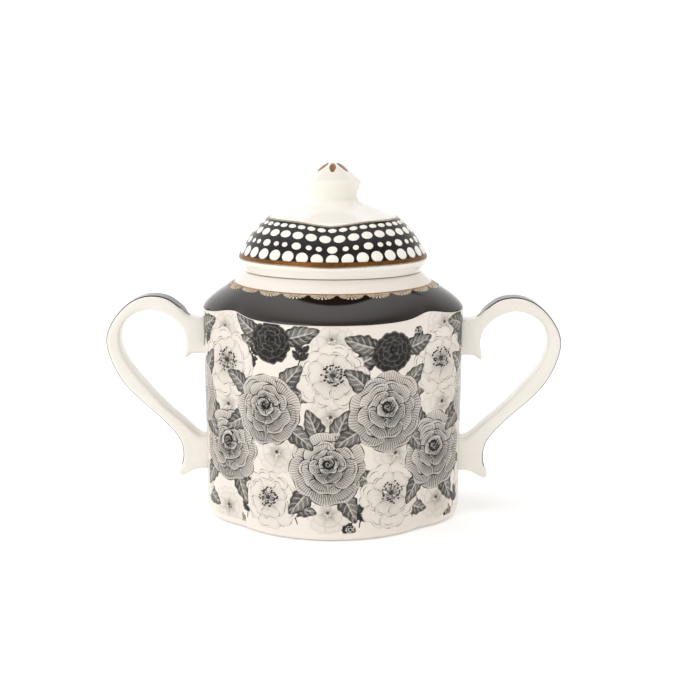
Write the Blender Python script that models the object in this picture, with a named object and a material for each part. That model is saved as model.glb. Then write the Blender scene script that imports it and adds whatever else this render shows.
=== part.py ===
"""Covered sugar bowl in glazed porcelain: a lobed oval bowl with two ear handles and a domed lid with a knob.

Metres, +Z up. The origin is the centre of the foot, on the table. The handles lie along X.
The bowl, the handles, the lid and the knob are cast separately. Slip joins the handles to the bowl and
the knob to the lid before firing, and each of those joints is a gap of JOINT_GAP here.
"""

from math import cos, exp, pi, radians, sin, sqrt

import bmesh
import bpy

# Whole object
JOINT_GAP = 0.0003  # slip joint between two castings, and the lid's gap over its seat
BOWL_WALL = 0.0030
LID_WALL = 0.0028
ROUND_POINTS = 64  # corners of a ring round the bowl or the lid
KNOB_POINTS = 32

# Plan of the bowl: one circle makes the front and back lobes, two smaller ones the side lobes
ROUND_RADIUS = 0.0410
LOBE_REACH = 0.0477  # from the axis to the end of a side lobe, along X
LOBE_RADIUS = 0.0255
CREASE_BLEND = 0.0018  # softness of the crease between two lobes
CREASE_ANGLE = radians(33)  # from +X

# Bowl heights, above the table
FOOT_RECESS = 0.0018
FLOOR_HEIGHT = 0.0046
FOOT_ROUND_HEIGHT = 0.0050
EDGE_HEIGHT = 0.0773  # the edge between the wall and the shoulder, at the side lobes
EDGE_RISE = 0.0017  # how much the edge rises at the creases
EDGE_RISE_SPREAD = radians(10)
EDGE_DIP = 0.0007  # how much it dips at the front and the back
COLLAR_FOOT_HEIGHT = 0.0866
COLLAR_DIP = 0.0006  # how much the foot of the collar dips at the front and the back
SEAT_HEIGHT = 0.0906

# Bowl, shares of the plan's radius
FOOT_INNER_SHARE = 0.835
FOOT_OUTER_SHARE = 0.905
WALL_LOW_SHARE = 0.974
WALL_TOP_SHARE = 0.994
EDGE_ROUND_SHARE = 0.982

# Collar: half lengths along X, and depth along Y as a share of them
COLLAR_FOOT_REACH = 0.0361
COLLAR_FOOT_DEPTH = 0.885
COLLAR_TOP_REACH = 0.0323
MOUTH_REACH = 0.0295
MOUTH_DEPTH = 0.88

# Handle: a strap of this width with rounded edges, seen from the front as an outline
HANDLE_WIDTH = 0.0096
HANDLE_EDGE = 0.0014
HANDLE_ROOT = 0.0420  # X where the outline starts, inside the bowl's wall
HANDLE_OUTER = [
    (0.0420, 0.0733), (0.0490, 0.0731), (0.0525, 0.0738), (0.0556, 0.0770), (0.0603, 0.0803),
    (0.0655, 0.0813), (0.0702, 0.0806), (0.0746, 0.0783), (0.0786, 0.0744), (0.0816, 0.0696),
    (0.0828, 0.0652), (0.0823, 0.0607), (0.0802, 0.0548), (0.0768, 0.0491), (0.0718, 0.0436),
    (0.0648, 0.0374), (0.0593, 0.0318), (0.0562, 0.0274), (0.0552, 0.0230), (0.0556, 0.0192),
    (0.0569, 0.0156), (0.0552, 0.0143), (0.0525, 0.0157), (0.0490, 0.0169), (0.0420, 0.0168),
]
HANDLE_INNER = [
    (0.0420, 0.0298), (0.0472, 0.0291), (0.0503, 0.0302), (0.0547, 0.0343), (0.0602, 0.0390),
    (0.0655, 0.0444), (0.0709, 0.0506), (0.0752, 0.0562), (0.0776, 0.0618), (0.0779, 0.0668),
    (0.0762, 0.0713), (0.0722, 0.0747), (0.0676, 0.0761), (0.0636, 0.0757), (0.0598, 0.0741),
    (0.0566, 0.0716), (0.0545, 0.0686), (0.0537, 0.0650), (0.0541, 0.0610), (0.0538, 0.0585),
    (0.0510, 0.0600), (0.0420, 0.0601),
]

# Lid: half length along X and height of each ring, from the rim's underside up the dome
LID_DEPTH = 0.88  # depth along Y as a share of the length along X
LID_LIFT_CLEARANCE = 0.0007  # round the locating flange, in the bowl's mouth
FLANGE_DEPTH = 0.0062
FLANGE_WALL = 0.0026
LID_OUTSIDE = [
    (0.0320, SEAT_HEIGHT + JOINT_GAP), (0.0326, 0.0922), (0.0336, 0.0936), (0.0339, 0.0945),
    (0.0338, 0.0958), (0.0332, 0.0976), (0.0321, 0.0996), (0.0301, 0.1031), (0.0270, 0.1068),
    (0.0243, 0.1093), (0.0232, 0.1100), (0.0190, 0.1119), (0.0148, 0.1136), (0.0110, 0.1149),
    (0.0086, 0.1157),
]
LID_INSIDE = [
    (0.0264, 0.0915), (0.0288, 0.0955), (0.0285, 0.0982), (0.0268, 0.1018), (0.0236, 0.1054),
    (0.0190, 0.1085), (0.0120, 0.1114), (0.0050, 0.1126),
]

# Knob: radius and height of each ring, from the joint with the lid to the tip
KNOB_JOINT_HEIGHT = 0.1157 + JOINT_GAP
KNOB_TIP_HEIGHT = 0.1297
KNOB_OUTSIDE = [
    (0.0084, KNOB_JOINT_HEIGHT), (0.0086, 0.1172), (0.0090, 0.1189), (0.0096, 0.1207), (0.0101, 0.1220),
    (0.0102, 0.1228), (0.0098, 0.1236), (0.0080, 0.1250), (0.0060, 0.1266), (0.0040, 0.1281),
    (0.0020, 0.1292),
]

PORCELAIN = (0.86, 0.84, 0.80, 1.0)


def smooth_max(a, b, blend):
    """The larger of two lengths, rounded off where they are within blend of each other."""
    near = max(blend - abs(a - b), 0.0) / blend
    return max(a, b) + near * near * blend / 4


def smooth_step(x):
    """0 below 0, 1 above 1, and an S curve between."""
    x = min(max(x, 0.0), 1.0)
    return x * x * (3 - 2 * x)


def lobed_radius(angle):
    """Distance from the axis to the lobed plan, at an angle from +X."""
    lobe_centre = LOBE_REACH - LOBE_RADIUS
    across = lobe_centre * sin(angle)
    if abs(across) >= LOBE_RADIUS:
        return ROUND_RADIUS
    lobe = lobe_centre * abs(cos(angle)) + sqrt(LOBE_RADIUS**2 - across**2)
    return smooth_max(ROUND_RADIUS, lobe, CREASE_BLEND)


def oval_radius(angle, reach, depth_share):
    """Distance from the axis to an ellipse of half length reach along X."""
    return reach * depth_share / sqrt((depth_share * cos(angle)) ** 2 + sin(angle) ** 2)


def from_side(angle):
    """The angle from the nearer end of the X axis, 0 to a quarter turn."""
    turned = abs(angle) % pi
    return min(turned, pi - turned)


def edge_wave(angle):
    """Height of the wall's top edge over its height at the side lobes."""
    side = from_side(angle)
    rise = EDGE_RISE * exp(-(((side - CREASE_ANGLE) / EDGE_RISE_SPREAD) ** 2))
    return rise - EDGE_DIP * smooth_step((side - CREASE_ANGLE) / radians(40))


def collar_wave(angle):
    """Height of the collar's foot over its height at the sides."""
    return -COLLAR_DIP * smooth_step(from_side(angle) / radians(80))


def ring(radius_at, height_at, points=ROUND_POINTS):
    """Corners of a closed outline round the Z axis, from two functions of the angle."""
    corners = []
    for i in range(points):
        angle = 2 * pi * i / points
        radius = radius_at(angle)
        corners.append((radius * cos(angle), radius * sin(angle), height_at(angle)))
    return corners


def plan_ring(share, height, inward=0.0):
    """A flat ring at a share of the lobed plan, moved inward by a wall."""
    return ring(lambda a: lobed_radius(a) * share - inward, lambda a: height)


def oval_ring(reach, height, depth_share, points=ROUND_POINTS):
    """A flat elliptical ring."""
    return ring(lambda a: oval_radius(a, reach, depth_share), lambda a: height, points)


def edge_ring(share, over_edge, inward=0.0):
    """A ring that follows the wavy top edge of the wall."""
    return ring(lambda a: lobed_radius(a) * share - inward, lambda a: EDGE_HEIGHT + edge_wave(a) + over_edge)


def shoulder_ring(along, inward=0.0, drop=0.0):
    """A ring on the shoulder, from the wall's edge (along 0) to the collar's foot (along 1)."""
    rise = along**0.65

    def radius_at(angle):
        edge = lobed_radius(angle) * EDGE_ROUND_SHARE
        foot = oval_radius(angle, COLLAR_FOOT_REACH, COLLAR_FOOT_DEPTH)
        return edge + (foot - edge) * along - inward

    def height_at(angle):
        low = EDGE_HEIGHT + edge_wave(angle) + 0.0006
        high = COLLAR_FOOT_HEIGHT + collar_wave(angle)
        return low + (high - low) * rise - drop

    return ring(radius_at, height_at)


def loft(name, rings, colour):
    """A closed solid through a row of rings, with a cap on the first and the last."""
    bm = bmesh.new()
    layers = [[bm.verts.new(corner) for corner in corners] for corners in rings]
    for low, high in zip(layers, layers[1:]):
        for i in range(len(low)):
            bm.faces.new((low[i - 1], low[i], high[i], high[i - 1]))
    caps = [bm.faces.new(layers[0]), bm.faces.new(layers[-1])]
    bmesh.ops.poke(bm, faces=caps)
    bmesh.ops.recalc_face_normals(bm, faces=bm.faces)
    if bm.calc_volume(signed=True) < 0:
        bmesh.ops.reverse_faces(bm, faces=bm.faces)
    return finish(name, bm, colour)


def finish(name, bm, colour):
    """Makes a smooth-shaded object with its own material from a bmesh."""
    mesh = bpy.data.meshes.new(name)
    bm.to_mesh(mesh)
    bm.free()
    mesh.shade_smooth()
    mesh.set_sharp_from_angle(angle=radians(35))
    obj = bpy.data.objects.new(name, mesh)
    bpy.context.scene.collection.objects.link(obj)
    obj.data.materials.append(glaze(name, colour))
    return obj


def glaze(name, colour):
    """Glossy glaze of one colour."""
    material = bpy.data.materials.new(name + "_glaze")
    material.use_nodes = True
    shader = material.node_tree.nodes["Principled BSDF"]
    shader.inputs["Base Color"].default_value = colour
    shader.inputs["Roughness"].default_value = 0.12
    shader.inputs["Metallic"].default_value = 0.0
    return material


def bowl_outside():
    """Rings up the outside of the bowl, from the foot's recess to the seat's outer edge."""
    rings = [
        plan_ring(FOOT_INNER_SHARE - 0.03, FOOT_RECESS),
        plan_ring(FOOT_INNER_SHARE, 0.0),
        plan_ring(FOOT_OUTER_SHARE, 0.0),
    ]
    for degrees in (25, 50, 70, 90):  # the round between the foot and the wall
        turn = radians(degrees)
        share = FOOT_OUTER_SHARE + (WALL_LOW_SHARE - FOOT_OUTER_SHARE) * sin(turn)
        rings.append(plan_ring(share, FOOT_ROUND_HEIGHT * (1 - cos(turn))))
    rings += [
        plan_ring((WALL_LOW_SHARE + WALL_TOP_SHARE) / 2, EDGE_HEIGHT / 2),
        edge_ring(WALL_TOP_SHARE, -0.0030),
        edge_ring(WALL_TOP_SHARE, -0.0006),
    ]
    rings += [shoulder_ring(along) for along in (0.0, 0.08, 0.2, 0.4, 0.6, 0.8, 1.0)]
    middle = (COLLAR_FOOT_REACH + COLLAR_TOP_REACH) / 2
    rings += [
        oval_ring(middle - 0.0003, COLLAR_FOOT_HEIGHT + 0.0019, (COLLAR_FOOT_DEPTH + MOUTH_DEPTH) / 2),
        oval_ring(COLLAR_TOP_REACH, SEAT_HEIGHT - 0.0005, MOUTH_DEPTH),
        oval_ring(COLLAR_TOP_REACH - 0.0005, SEAT_HEIGHT, MOUTH_DEPTH),
    ]
    return rings


def bowl_inside():
    """Rings down the inside of the bowl, from the seat's inner edge to the floor."""
    return [
        oval_ring(MOUTH_REACH + 0.0003, SEAT_HEIGHT, MOUTH_DEPTH),
        oval_ring(MOUTH_REACH, SEAT_HEIGHT - 0.0004, MOUTH_DEPTH),
        oval_ring(MOUTH_REACH, COLLAR_FOOT_HEIGHT - 0.0022, MOUTH_DEPTH),
        shoulder_ring(0.85, inward=BOWL_WALL, drop=0.0030),
        shoulder_ring(0.45, inward=BOWL_WALL, drop=0.0028),
        edge_ring(WALL_TOP_SHARE, -0.0016, inward=BOWL_WALL),
        plan_ring(WALL_TOP_SHARE, EDGE_HEIGHT - 0.0080, inward=BOWL_WALL),
        plan_ring(WALL_LOW_SHARE, FLOOR_HEIGHT + 0.0060, inward=BOWL_WALL),
        plan_ring(WALL_LOW_SHARE, FLOOR_HEIGHT + 0.0022, inward=BOWL_WALL + 0.0012),
        plan_ring(WALL_LOW_SHARE, FLOOR_HEIGHT, inward=BOWL_WALL + 0.0050),
    ]


def make_bowl():
    """The bowl: wall, shoulder, collar and recessed foot in one casting."""
    return loft("bowl_body", bowl_outside() + bowl_inside(), PORCELAIN)


def wall_cutter():
    """A solid slightly larger than the bowl's outside, which trims a handle to the wall."""
    rings = [plan_ring(1.0, -0.01, inward=-JOINT_GAP)]
    for corners in bowl_outside()[2:]:
        grown = []
        for x, y, z in corners:
            radius = sqrt(x * x + y * y)
            grow = (radius + JOINT_GAP * 1.15) / radius
            grown.append((x * grow, y * grow, z))
        rings.append(grown)
    cutter = loft("wall_cutter", rings, PORCELAIN)
    cutter.hide_render = True
    cutter.display_type = "WIRE"
    return cutter


def make_handle(name, side, cutter):
    """One ear handle: its outline extruded to the strap's width, rounded, and trimmed to the wall."""
    bm = bmesh.new()
    outline = HANDLE_OUTER + HANDLE_INNER
    corners = [bm.verts.new((side * x, -HANDLE_WIDTH / 2, z)) for x, z in outline]
    face = bm.faces.new(corners)
    made = bmesh.ops.extrude_face_region(bm, geom=[face])["geom"]
    moved = [v for v in made if isinstance(v, bmesh.types.BMVert)]
    bmesh.ops.translate(bm, verts=moved, vec=(0, HANDLE_WIDTH, 0))
    bmesh.ops.recalc_face_normals(bm, faces=bm.faces)
    rims = [e for e in bm.edges if abs(e.verts[0].co.y - e.verts[1].co.y) < HANDLE_EDGE]
    bmesh.ops.bevel(bm, geom=rims, offset=HANDLE_EDGE, segments=2, profile=0.5, affect="EDGES")
    handle = finish(name, bm, PORCELAIN)
    trim = handle.modifiers.new("trim_to_wall", "BOOLEAN")
    trim.operation = "DIFFERENCE"
    trim.object = cutter
    return handle


def make_lid():
    """The lid: dome, rim and locating flange in one hollow casting."""
    flange = MOUTH_REACH - LID_LIFT_CLEARANCE
    bottom = SEAT_HEIGHT - FLANGE_DEPTH
    rings = [oval_ring(reach, height, LID_DEPTH) for reach, height in reversed(LID_INSIDE)]
    rings += [
        oval_ring(flange - FLANGE_WALL, bottom + 0.0005, LID_DEPTH),
        oval_ring(flange - FLANGE_WALL + 0.0008, bottom, LID_DEPTH),
        oval_ring(flange - 0.0006, bottom, LID_DEPTH),
        oval_ring(flange, bottom + 0.0006, LID_DEPTH),
        oval_ring(flange, SEAT_HEIGHT + JOINT_GAP, LID_DEPTH),
    ]
    dome_foot = LID_OUTSIDE[9][0]
    for reach, height in LID_OUTSIDE:
        towards_knob = smooth_step((dome_foot - reach) / (dome_foot - LID_OUTSIDE[-1][0]))
        rings.append(oval_ring(reach, height, LID_DEPTH + (1 - LID_DEPTH) * towards_knob))
    return loft("lid_shell", rings, PORCELAIN)


def make_knob():
    """The solid knob that stands on the lid."""
    rings = [oval_ring(radius, height, 1.0, KNOB_POINTS) for radius, height in KNOB_OUTSIDE]
    knob = loft("lid_knob", rings, PORCELAIN)
    top = max(knob.data.vertices, key=lambda v: v.co.z if v.co.xy.length < 0.0001 else 0.0)
    top.co.z = KNOB_TIP_HEIGHT
    return knob


def main():
    """Clears the scene and builds every casting."""
    for obj in list(bpy.data.objects):
        bpy.data.objects.remove(obj)
    make_bowl()
    cutter = wall_cutter()
    make_handle("handle_right", 1, cutter)
    make_handle("handle_left", -1, cutter)
    make_lid()
    make_knob()


main()
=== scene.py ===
"""Looks of the covered sugar bowl: glazed castings, a printed flower wall, a dotted lid and gold trims.

Everything is in metres in the row frame. The print is laid out in millimetres on the unrolled wall.
"""

import logging
import math
import random
from dataclasses import dataclass, field, replace
from enum import Enum
from typing import Callable, Iterable, Sequence

import bmesh
import bpy
import numpy as np
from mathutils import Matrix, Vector


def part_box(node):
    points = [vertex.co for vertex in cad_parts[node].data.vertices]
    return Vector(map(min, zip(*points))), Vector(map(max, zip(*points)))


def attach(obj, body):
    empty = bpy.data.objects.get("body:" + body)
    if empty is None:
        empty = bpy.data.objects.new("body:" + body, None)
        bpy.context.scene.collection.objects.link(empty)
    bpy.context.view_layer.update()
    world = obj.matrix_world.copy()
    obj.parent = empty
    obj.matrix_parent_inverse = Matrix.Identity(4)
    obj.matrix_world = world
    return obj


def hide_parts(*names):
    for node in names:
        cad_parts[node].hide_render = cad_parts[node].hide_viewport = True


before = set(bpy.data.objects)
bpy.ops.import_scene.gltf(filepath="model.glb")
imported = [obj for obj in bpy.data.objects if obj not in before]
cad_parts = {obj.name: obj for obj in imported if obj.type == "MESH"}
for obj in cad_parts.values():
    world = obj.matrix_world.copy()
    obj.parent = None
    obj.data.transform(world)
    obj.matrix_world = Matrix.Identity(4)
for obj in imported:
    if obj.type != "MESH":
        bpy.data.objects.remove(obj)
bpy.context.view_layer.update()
BOWL_LOW, BOWL_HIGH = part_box("bowl_body")
LID_LOW, LID_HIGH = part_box("lid_shell")
KNOB_LOW, KNOB_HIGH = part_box("lid_knob")
HANDLE_LOW, HANDLE_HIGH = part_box("handle_right")

MM = 0.001
QUARTER = math.pi / 2
GLAZE_LIFT = 0.00006  # how far a fired-on colour stands over the glaze under it
GLAZE_SINK = 0.00012  # how far the rim of a fired-on colour reaches into the glaze
ROUND_POINTS = 360
WALL_RINGS_TOP = 0.0735  # height up to which the wall's rings are flat
COLLAR_DIP_FROM = math.radians(80)  # turn from the side at which the collar's foot has dipped fully

log = logging.getLogger("sugar_bowl")

Ring = Callable[[np.ndarray], tuple[np.ndarray, np.ndarray]]
Point = tuple[float, float]


class Body(Enum):
    """The moving bodies of the frame."""

    BOWL = "bowl"
    LID = "lid"


class Slot(Enum):
    """The record's material slots."""

    BOWL = "bowl_glaze"
    HANDLE = "handle_glaze"
    LID = "lid_glaze"
    KNOB = "knob_glaze"
    BLACK = "black_glaze"
    PRINT = "printed_transfer"
    ENAMEL = "white_enamel"
    GOLD = "gold_lustre"


# ---------------------------------------------------------------------------------------------------------
# Finishes


class Nodes:
    """A short way to build a node material round one Principled shader."""

    def __init__(self, name: str) -> None:
        """Starts a material.

        Args:
            name: the material's name.
        """
        self.material = bpy.data.materials.new(name)
        self.material.use_nodes = True
        self.tree = self.material.node_tree
        self.shader = self.tree.nodes["Principled BSDF"]

    def add(self, kind: str, inputs: dict[str | int, object] | None = None,
            **settings: object) -> bpy.types.Node:
        """Adds a node.

        Args:
            kind: the node's type, without its ShaderNode prefix.
            inputs: values or output sockets for its inputs.
            settings: the node's own properties.

        Returns:
            The new node.
        """
        node = self.tree.nodes.new("ShaderNode" + kind)
        for key, value in settings.items():
            setattr(node, key, value)
        for key, value in (inputs or {}).items():
            if isinstance(value, bpy.types.NodeSocket):
                self.tree.links.new(value, node.inputs[key])
            else:
                node.inputs[key].default_value = value
        return node

    def object_noise(self, scale: float, detail: float) -> bpy.types.NodeSocket:
        """A cloudy value from 0 to 1 that is fixed to the object.

        Args:
            scale: how many clouds there are in a metre.
            detail: how many finer layers the clouds have.

        Returns:
            The value's socket.
        """
        place = self.add("TexCoord").outputs["Object"]
        return self.add("TexNoise", {"Vector": place, "Scale": scale, "Detail": detail}).outputs["Fac"]

    def spread(self, value: bpy.types.NodeSocket, low: float, high: float) -> bpy.types.NodeSocket:
        """Maps the middle of a cloudy value to a range.

        Args:
            value: the cloudy value.
            low: the result where the value is 0.3.
            high: the result where the value is 0.7.

        Returns:
            The mapped value's socket.
        """
        limits = {"From Min": 0.3, "From Max": 0.7, "To Min": low, "To Max": high}
        return self.add("MapRange", {"Value": value, **limits}).outputs["Result"]

    def blend(self, share: object, first: object, second: object, mode: str = "MIX") -> bpy.types.NodeSocket:
        """Mixes two colours.

        Args:
            share: how much of the second colour, a number or a socket.
            first: the first colour, RGBA or a socket.
            second: the second colour, RGBA or a socket.
            mode: how they mix.

        Returns:
            The mixed colour's socket.
        """
        node = self.add("Mix", data_type="RGBA", blend_type=mode)
        for key, value in ((0, share), (6, first), (7, second)):
            if isinstance(value, bpy.types.NodeSocket):
                self.tree.links.new(value, node.inputs[key])
            else:
                node.inputs[key].default_value = value
        return node.outputs[2]

    def math(self, operation: str, first: object, second: object) -> bpy.types.NodeSocket:
        """One arithmetic step.

        Args:
            operation: the Math node's operation.
            first: a number or a socket.
            second: a number or a socket.

        Returns:
            The result's socket.
        """
        return self.add("Math", {0: first, 1: second}, operation=operation).outputs[0]

    def surface(self, colour: bpy.types.NodeSocket, roughness: bpy.types.NodeSocket,
                height: bpy.types.NodeSocket, relief: float) -> None:
        """Feeds the shader.

        Args:
            colour: base colour.
            roughness: roughness.
            height: relief height from 0 to 1.
            relief: the full height of the relief, in metres.
        """
        bump = self.add("Bump", {"Height": height, "Distance": relief, "Strength": 1.0})
        sockets = {"Base Color": colour, "Roughness": roughness, "Normal": bump.outputs["Normal"]}
        for key, socket in sockets.items():
            self.tree.links.new(socket, self.shader.inputs[key])


def rgba(red: float, green: float, blue: float) -> tuple[float, float, float, float]:
    """A linear colour from display values of 0 to 255."""
    shares = [c / 255 for c in (red, green, blue)]
    return (*(c / 12.92 if c <= 10 / 255 else ((c + 0.055) / 1.055) ** 2.4 for c in shares), 1.0)


WHITE_WARE = rgba(236, 229, 221)
CREAM_WARE = rgba(230, 221, 211)
INK = rgba(9, 6, 5)


@dataclass(frozen=True)
class Glaze:
    """A glossy fired glaze: faint clouds in its colour, and the shallow ripple that glaze dries with."""

    name: str
    light: tuple[float, float, float, float]
    deep: tuple[float, float, float, float]
    gloss: tuple[float, float] = (0.07, 0.13)
    ripple: float = 0.00003
    ior: float = 1.52

    def ware(self, nodes: Nodes) -> bpy.types.NodeSocket:
        """The clouded glaze colour, the same wherever two pieces of one glaze meet.

        Args:
            nodes: the material being built.

        Returns:
            The colour's socket.
        """
        return nodes.blend(nodes.spread(nodes.object_noise(38.0, 3.0), 0.0, 1.0), self.light, self.deep)

    def material(self) -> bpy.types.Material:
        """Builds the material."""
        nodes = Nodes(self.name)
        nodes.shader.inputs["IOR"].default_value = self.ior
        roughness = nodes.spread(nodes.object_noise(90.0, 2.0), *self.gloss)
        nodes.surface(self.ware(nodes), roughness, nodes.object_noise(120.0, 1.0), self.ripple)
        return nodes.material


@dataclass(frozen=True)
class PrintedGlaze(Glaze):
    """A glaze over an etched print, carried in the print attribute: lines in red, washes in green."""

    line_softness: float = 0.16
    grain: float = 0.045

    def material(self) -> bpy.types.Material:
        """Builds the material."""
        nodes = Nodes(self.name)
        nodes.shader.inputs["IOR"].default_value = self.ior
        plate = nodes.add("Attribute", attribute_name="print")
        parts = nodes.add("SeparateColor", {"Color": plate.outputs["Color"]})
        line = nodes.add("MapRange", {
            "Value": parts.outputs["Red"],
            "From Min": 0.5 - self.line_softness, "From Max": 0.5 + self.line_softness,
        }, interpolation_type="SMOOTHSTEP").outputs["Result"]
        grain = nodes.spread(nodes.object_noise(2600.0, 2.0), 1.0 - self.grain, 1.0 + self.grain)
        wash = nodes.math("MULTIPLY", parts.outputs["Green"], grain)
        ink = nodes.math("MINIMUM", nodes.math("MAXIMUM", line, wash), 1.0)
        colour = nodes.blend(ink, self.ware(nodes), INK)
        roughness = nodes.spread(nodes.object_noise(90.0, 2.0), *self.gloss)
        nodes.surface(colour, roughness, nodes.object_noise(120.0, 1.0), self.ripple)
        return nodes.material


@dataclass(frozen=True)
class Lustre:
    """Fired brown gold: bright metal, brushed on unevenly."""

    name: str
    light: tuple[float, float, float, float]
    deep: tuple[float, float, float, float]
    metal: float = 0.85

    def material(self) -> bpy.types.Material:
        """Builds the material."""
        nodes = Nodes(self.name)
        nodes.shader.inputs["Metallic"].default_value = self.metal
        streaks = nodes.spread(nodes.object_noise(420.0, 3.0), 0.0, 1.0)
        colour = nodes.blend(streaks, self.light, self.deep)
        roughness = nodes.spread(nodes.object_noise(700.0, 2.0), 0.22, 0.42)
        nodes.surface(colour, roughness, nodes.object_noise(900.0, 2.0), 0.00002)
        return nodes.material


@dataclass(frozen=True)
class Biscuit:
    """Bare fired clay, dry and slightly gritty."""

    name: str

    def material(self) -> bpy.types.Material:
        """Builds the material."""
        nodes = Nodes(self.name)
        grit = nodes.spread(nodes.object_noise(1800.0, 3.0), 0.0, 1.0)
        colour = nodes.blend(grit, rgba(222, 214, 200), rgba(205, 195, 180))
        roughness = nodes.spread(nodes.object_noise(600.0, 2.0), 0.7, 0.9)
        nodes.surface(colour, roughness, nodes.object_noise(2400.0, 2.0), 0.00006)
        return nodes.material


# ---------------------------------------------------------------------------------------------------------
# Modelling helpers


def deselect_all() -> None:
    """Clears the selection, so that the next operator acts only on what is picked after it."""
    if bpy.context.object and bpy.context.object.mode != "OBJECT":
        bpy.ops.object.mode_set(mode="OBJECT")
    bpy.ops.object.select_all(action="DESELECT")


def pick(piece: bpy.types.Object) -> None:
    """Makes a piece the only selected one, and active."""
    deselect_all()
    piece.select_set(True)
    bpy.context.view_layer.objects.active = piece


def face_outwards(piece: bpy.types.Object) -> None:
    """Turns a closed piece the right way round, judged by the sign of its volume."""
    pick(piece)
    bpy.ops.object.mode_set(mode="EDIT")
    bpy.ops.mesh.select_all(action="SELECT")
    bpy.ops.mesh.normals_make_consistent(inside=False)
    mesh = bmesh.from_edit_mesh(piece.data)
    if mesh.calc_volume(signed=True) < 0:
        bpy.ops.mesh.flip_normals()
    bpy.ops.object.mode_set(mode="OBJECT")


def settle(piece: bpy.types.Object, sharp: float = 38.0) -> bpy.types.Object:
    """Applies a piece's place and shades it smooth.

    Args:
        piece: the finished piece.
        sharp: faces that meet at more than this many degrees keep a crisp edge.

    Returns:
        The same piece.
    """
    pick(piece)
    bpy.ops.object.transform_apply(location=True, rotation=True, scale=True)
    bpy.ops.object.shade_smooth_by_angle(angle=math.radians(sharp))
    return piece


def hand_over(piece: bpy.types.Object, body: Body, finish: bpy.types.Material,
              stands_for: Sequence[str] = ()) -> bpy.types.Object:
    """Dresses a piece and ties it to the frame.

    Args:
        piece: the finished piece.
        body: the body that it moves with.
        finish: its material.
        stands_for: the CAD nodes that it replaces.

    Returns:
        The same piece.
    """
    piece.data.materials.clear()
    piece.data.materials.append(finish)
    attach(piece, body.value)
    if stands_for:
        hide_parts(*stands_for)
    log.info("%s: %d faces on %s", piece.name, len(piece.data.polygons), body.value)
    return piece


class RingTower:
    """A mesh raised ring by ring from a circle, as on a wheel, except that a ring may have any outline."""

    def __init__(self, name: str, first: Ring, points: int = ROUND_POINTS) -> None:
        """Lays the first ring.

        Args:
            name: the piece's name.
            first: the radius and height of the ring at each angle.
            points: corners in each ring.
        """
        deselect_all()
        bpy.ops.mesh.primitive_circle_add(vertices=points, radius=0.03)
        self.piece = bpy.context.object
        self.piece.name = name
        self.points = points
        bpy.ops.object.mode_set(mode="EDIT")
        bpy.ops.mesh.select_all(action="SELECT")
        self._shape(first)

    def _shape(self, ring: Ring) -> None:
        """Moves the newest ring's corners to their places."""
        mesh = bmesh.from_edit_mesh(self.piece.data)
        mesh.verts.ensure_lookup_table()
        corners = mesh.verts[-self.points:]
        angles = np.array([math.atan2(v.co.y, v.co.x) for v in corners])
        radius, height = ring(angles)
        places = np.stack([radius * np.cos(angles), radius * np.sin(angles), height], axis=1)
        for corner, place in zip(corners, places):
            corner.co = place
        bmesh.update_edit_mesh(self.piece.data)

    def raise_ring(self, ring: Ring) -> "RingTower":
        """Extrudes the newest ring into the next one.

        Args:
            ring: the radius and height of the next ring at each angle.

        Returns:
            The tower itself.
        """
        bpy.ops.mesh.extrude_edges_move()
        self._shape(ring)
        return self

    def close_last(self) -> "RingTower":
        """Caps the newest ring with a fan."""
        bpy.ops.mesh.edge_face_add()
        bpy.ops.mesh.poke()
        return self

    def close_first(self) -> "RingTower":
        """Caps the first ring with a fan."""
        bpy.ops.mesh.select_all(action="DESELECT")
        mesh = bmesh.from_edit_mesh(self.piece.data)
        mesh.verts.ensure_lookup_table()
        for corner in mesh.verts[: self.points]:
            corner.select = True
        mesh.select_flush(True)
        bmesh.update_edit_mesh(self.piece.data)
        bpy.ops.mesh.edge_face_add()
        bpy.ops.mesh.poke()
        return self

    def done(self, sharp: float = 38.0) -> bpy.types.Object:
        """Welds the tower, turns it outwards and shades it.

        Args:
            sharp: faces that meet at more than this many degrees keep a crisp edge.

        Returns:
            The finished piece.
        """
        bpy.ops.mesh.select_all(action="SELECT")
        bpy.ops.mesh.remove_doubles(threshold=0.000002)
        face_outwards(self.piece)
        return settle(self.piece, sharp)


def tower(name: str, rings: Sequence[Ring], points: int = ROUND_POINTS,
          closed: bool = False) -> bpy.types.Object:
    """Raises a whole tower.

    Args:
        name: the piece's name.
        rings: its rings in order.
        points: corners in each ring.
        closed: True joins the last ring to the first, and False caps both.

    Returns:
        The finished piece.
    """
    build = RingTower(name, rings[0], points)
    for ring in rings[1:]:
        build.raise_ring(ring)
    if closed:
        build.raise_ring(rings[0])
    else:
        build.close_last().close_first()
    return build.done()


def join(name: str, pieces: Sequence[bpy.types.Object]) -> bpy.types.Object:
    """Joins copies into one piece.

    Args:
        name: the joined piece's name.
        pieces: the copies.

    Returns:
        The joined piece.
    """
    pick(pieces[0])
    for piece in pieces:
        piece.select_set(True)
    bpy.ops.object.join()
    pieces[0].name = name
    return pieces[0]


def smooth_through(points: Sequence[Sequence[float]], steps: int, closed: bool = False) -> np.ndarray:
    """A smooth curve through a few points.

    Args:
        points: the points that it passes through.
        steps: corners from each point to the next.
        closed: True if it returns to its first point.

    Returns:
        The curve's corners, one row each.
    """
    given = np.asarray(points, float)
    count = len(given)
    share = np.linspace(0.0, 1.0, steps, endpoint=False)[:, None]
    curve = []
    for i in range(count if closed else count - 1):
        before = given[(i - 1) % count] if closed or i else given[0]
        here, there = given[i], given[(i + 1) % count]
        after = given[(i + 2) % count] if closed or i + 2 < count else given[-1]
        bend = 2 * before - 5 * here + 4 * there - after
        twist = -before + 3 * here - 3 * there + after
        curve.append(0.5 * (2 * here + (there - before) * share + bend * share**2 + twist * share**3))
    if not closed:
        curve.append(given[-1:])
    return np.concatenate(curve)


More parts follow.
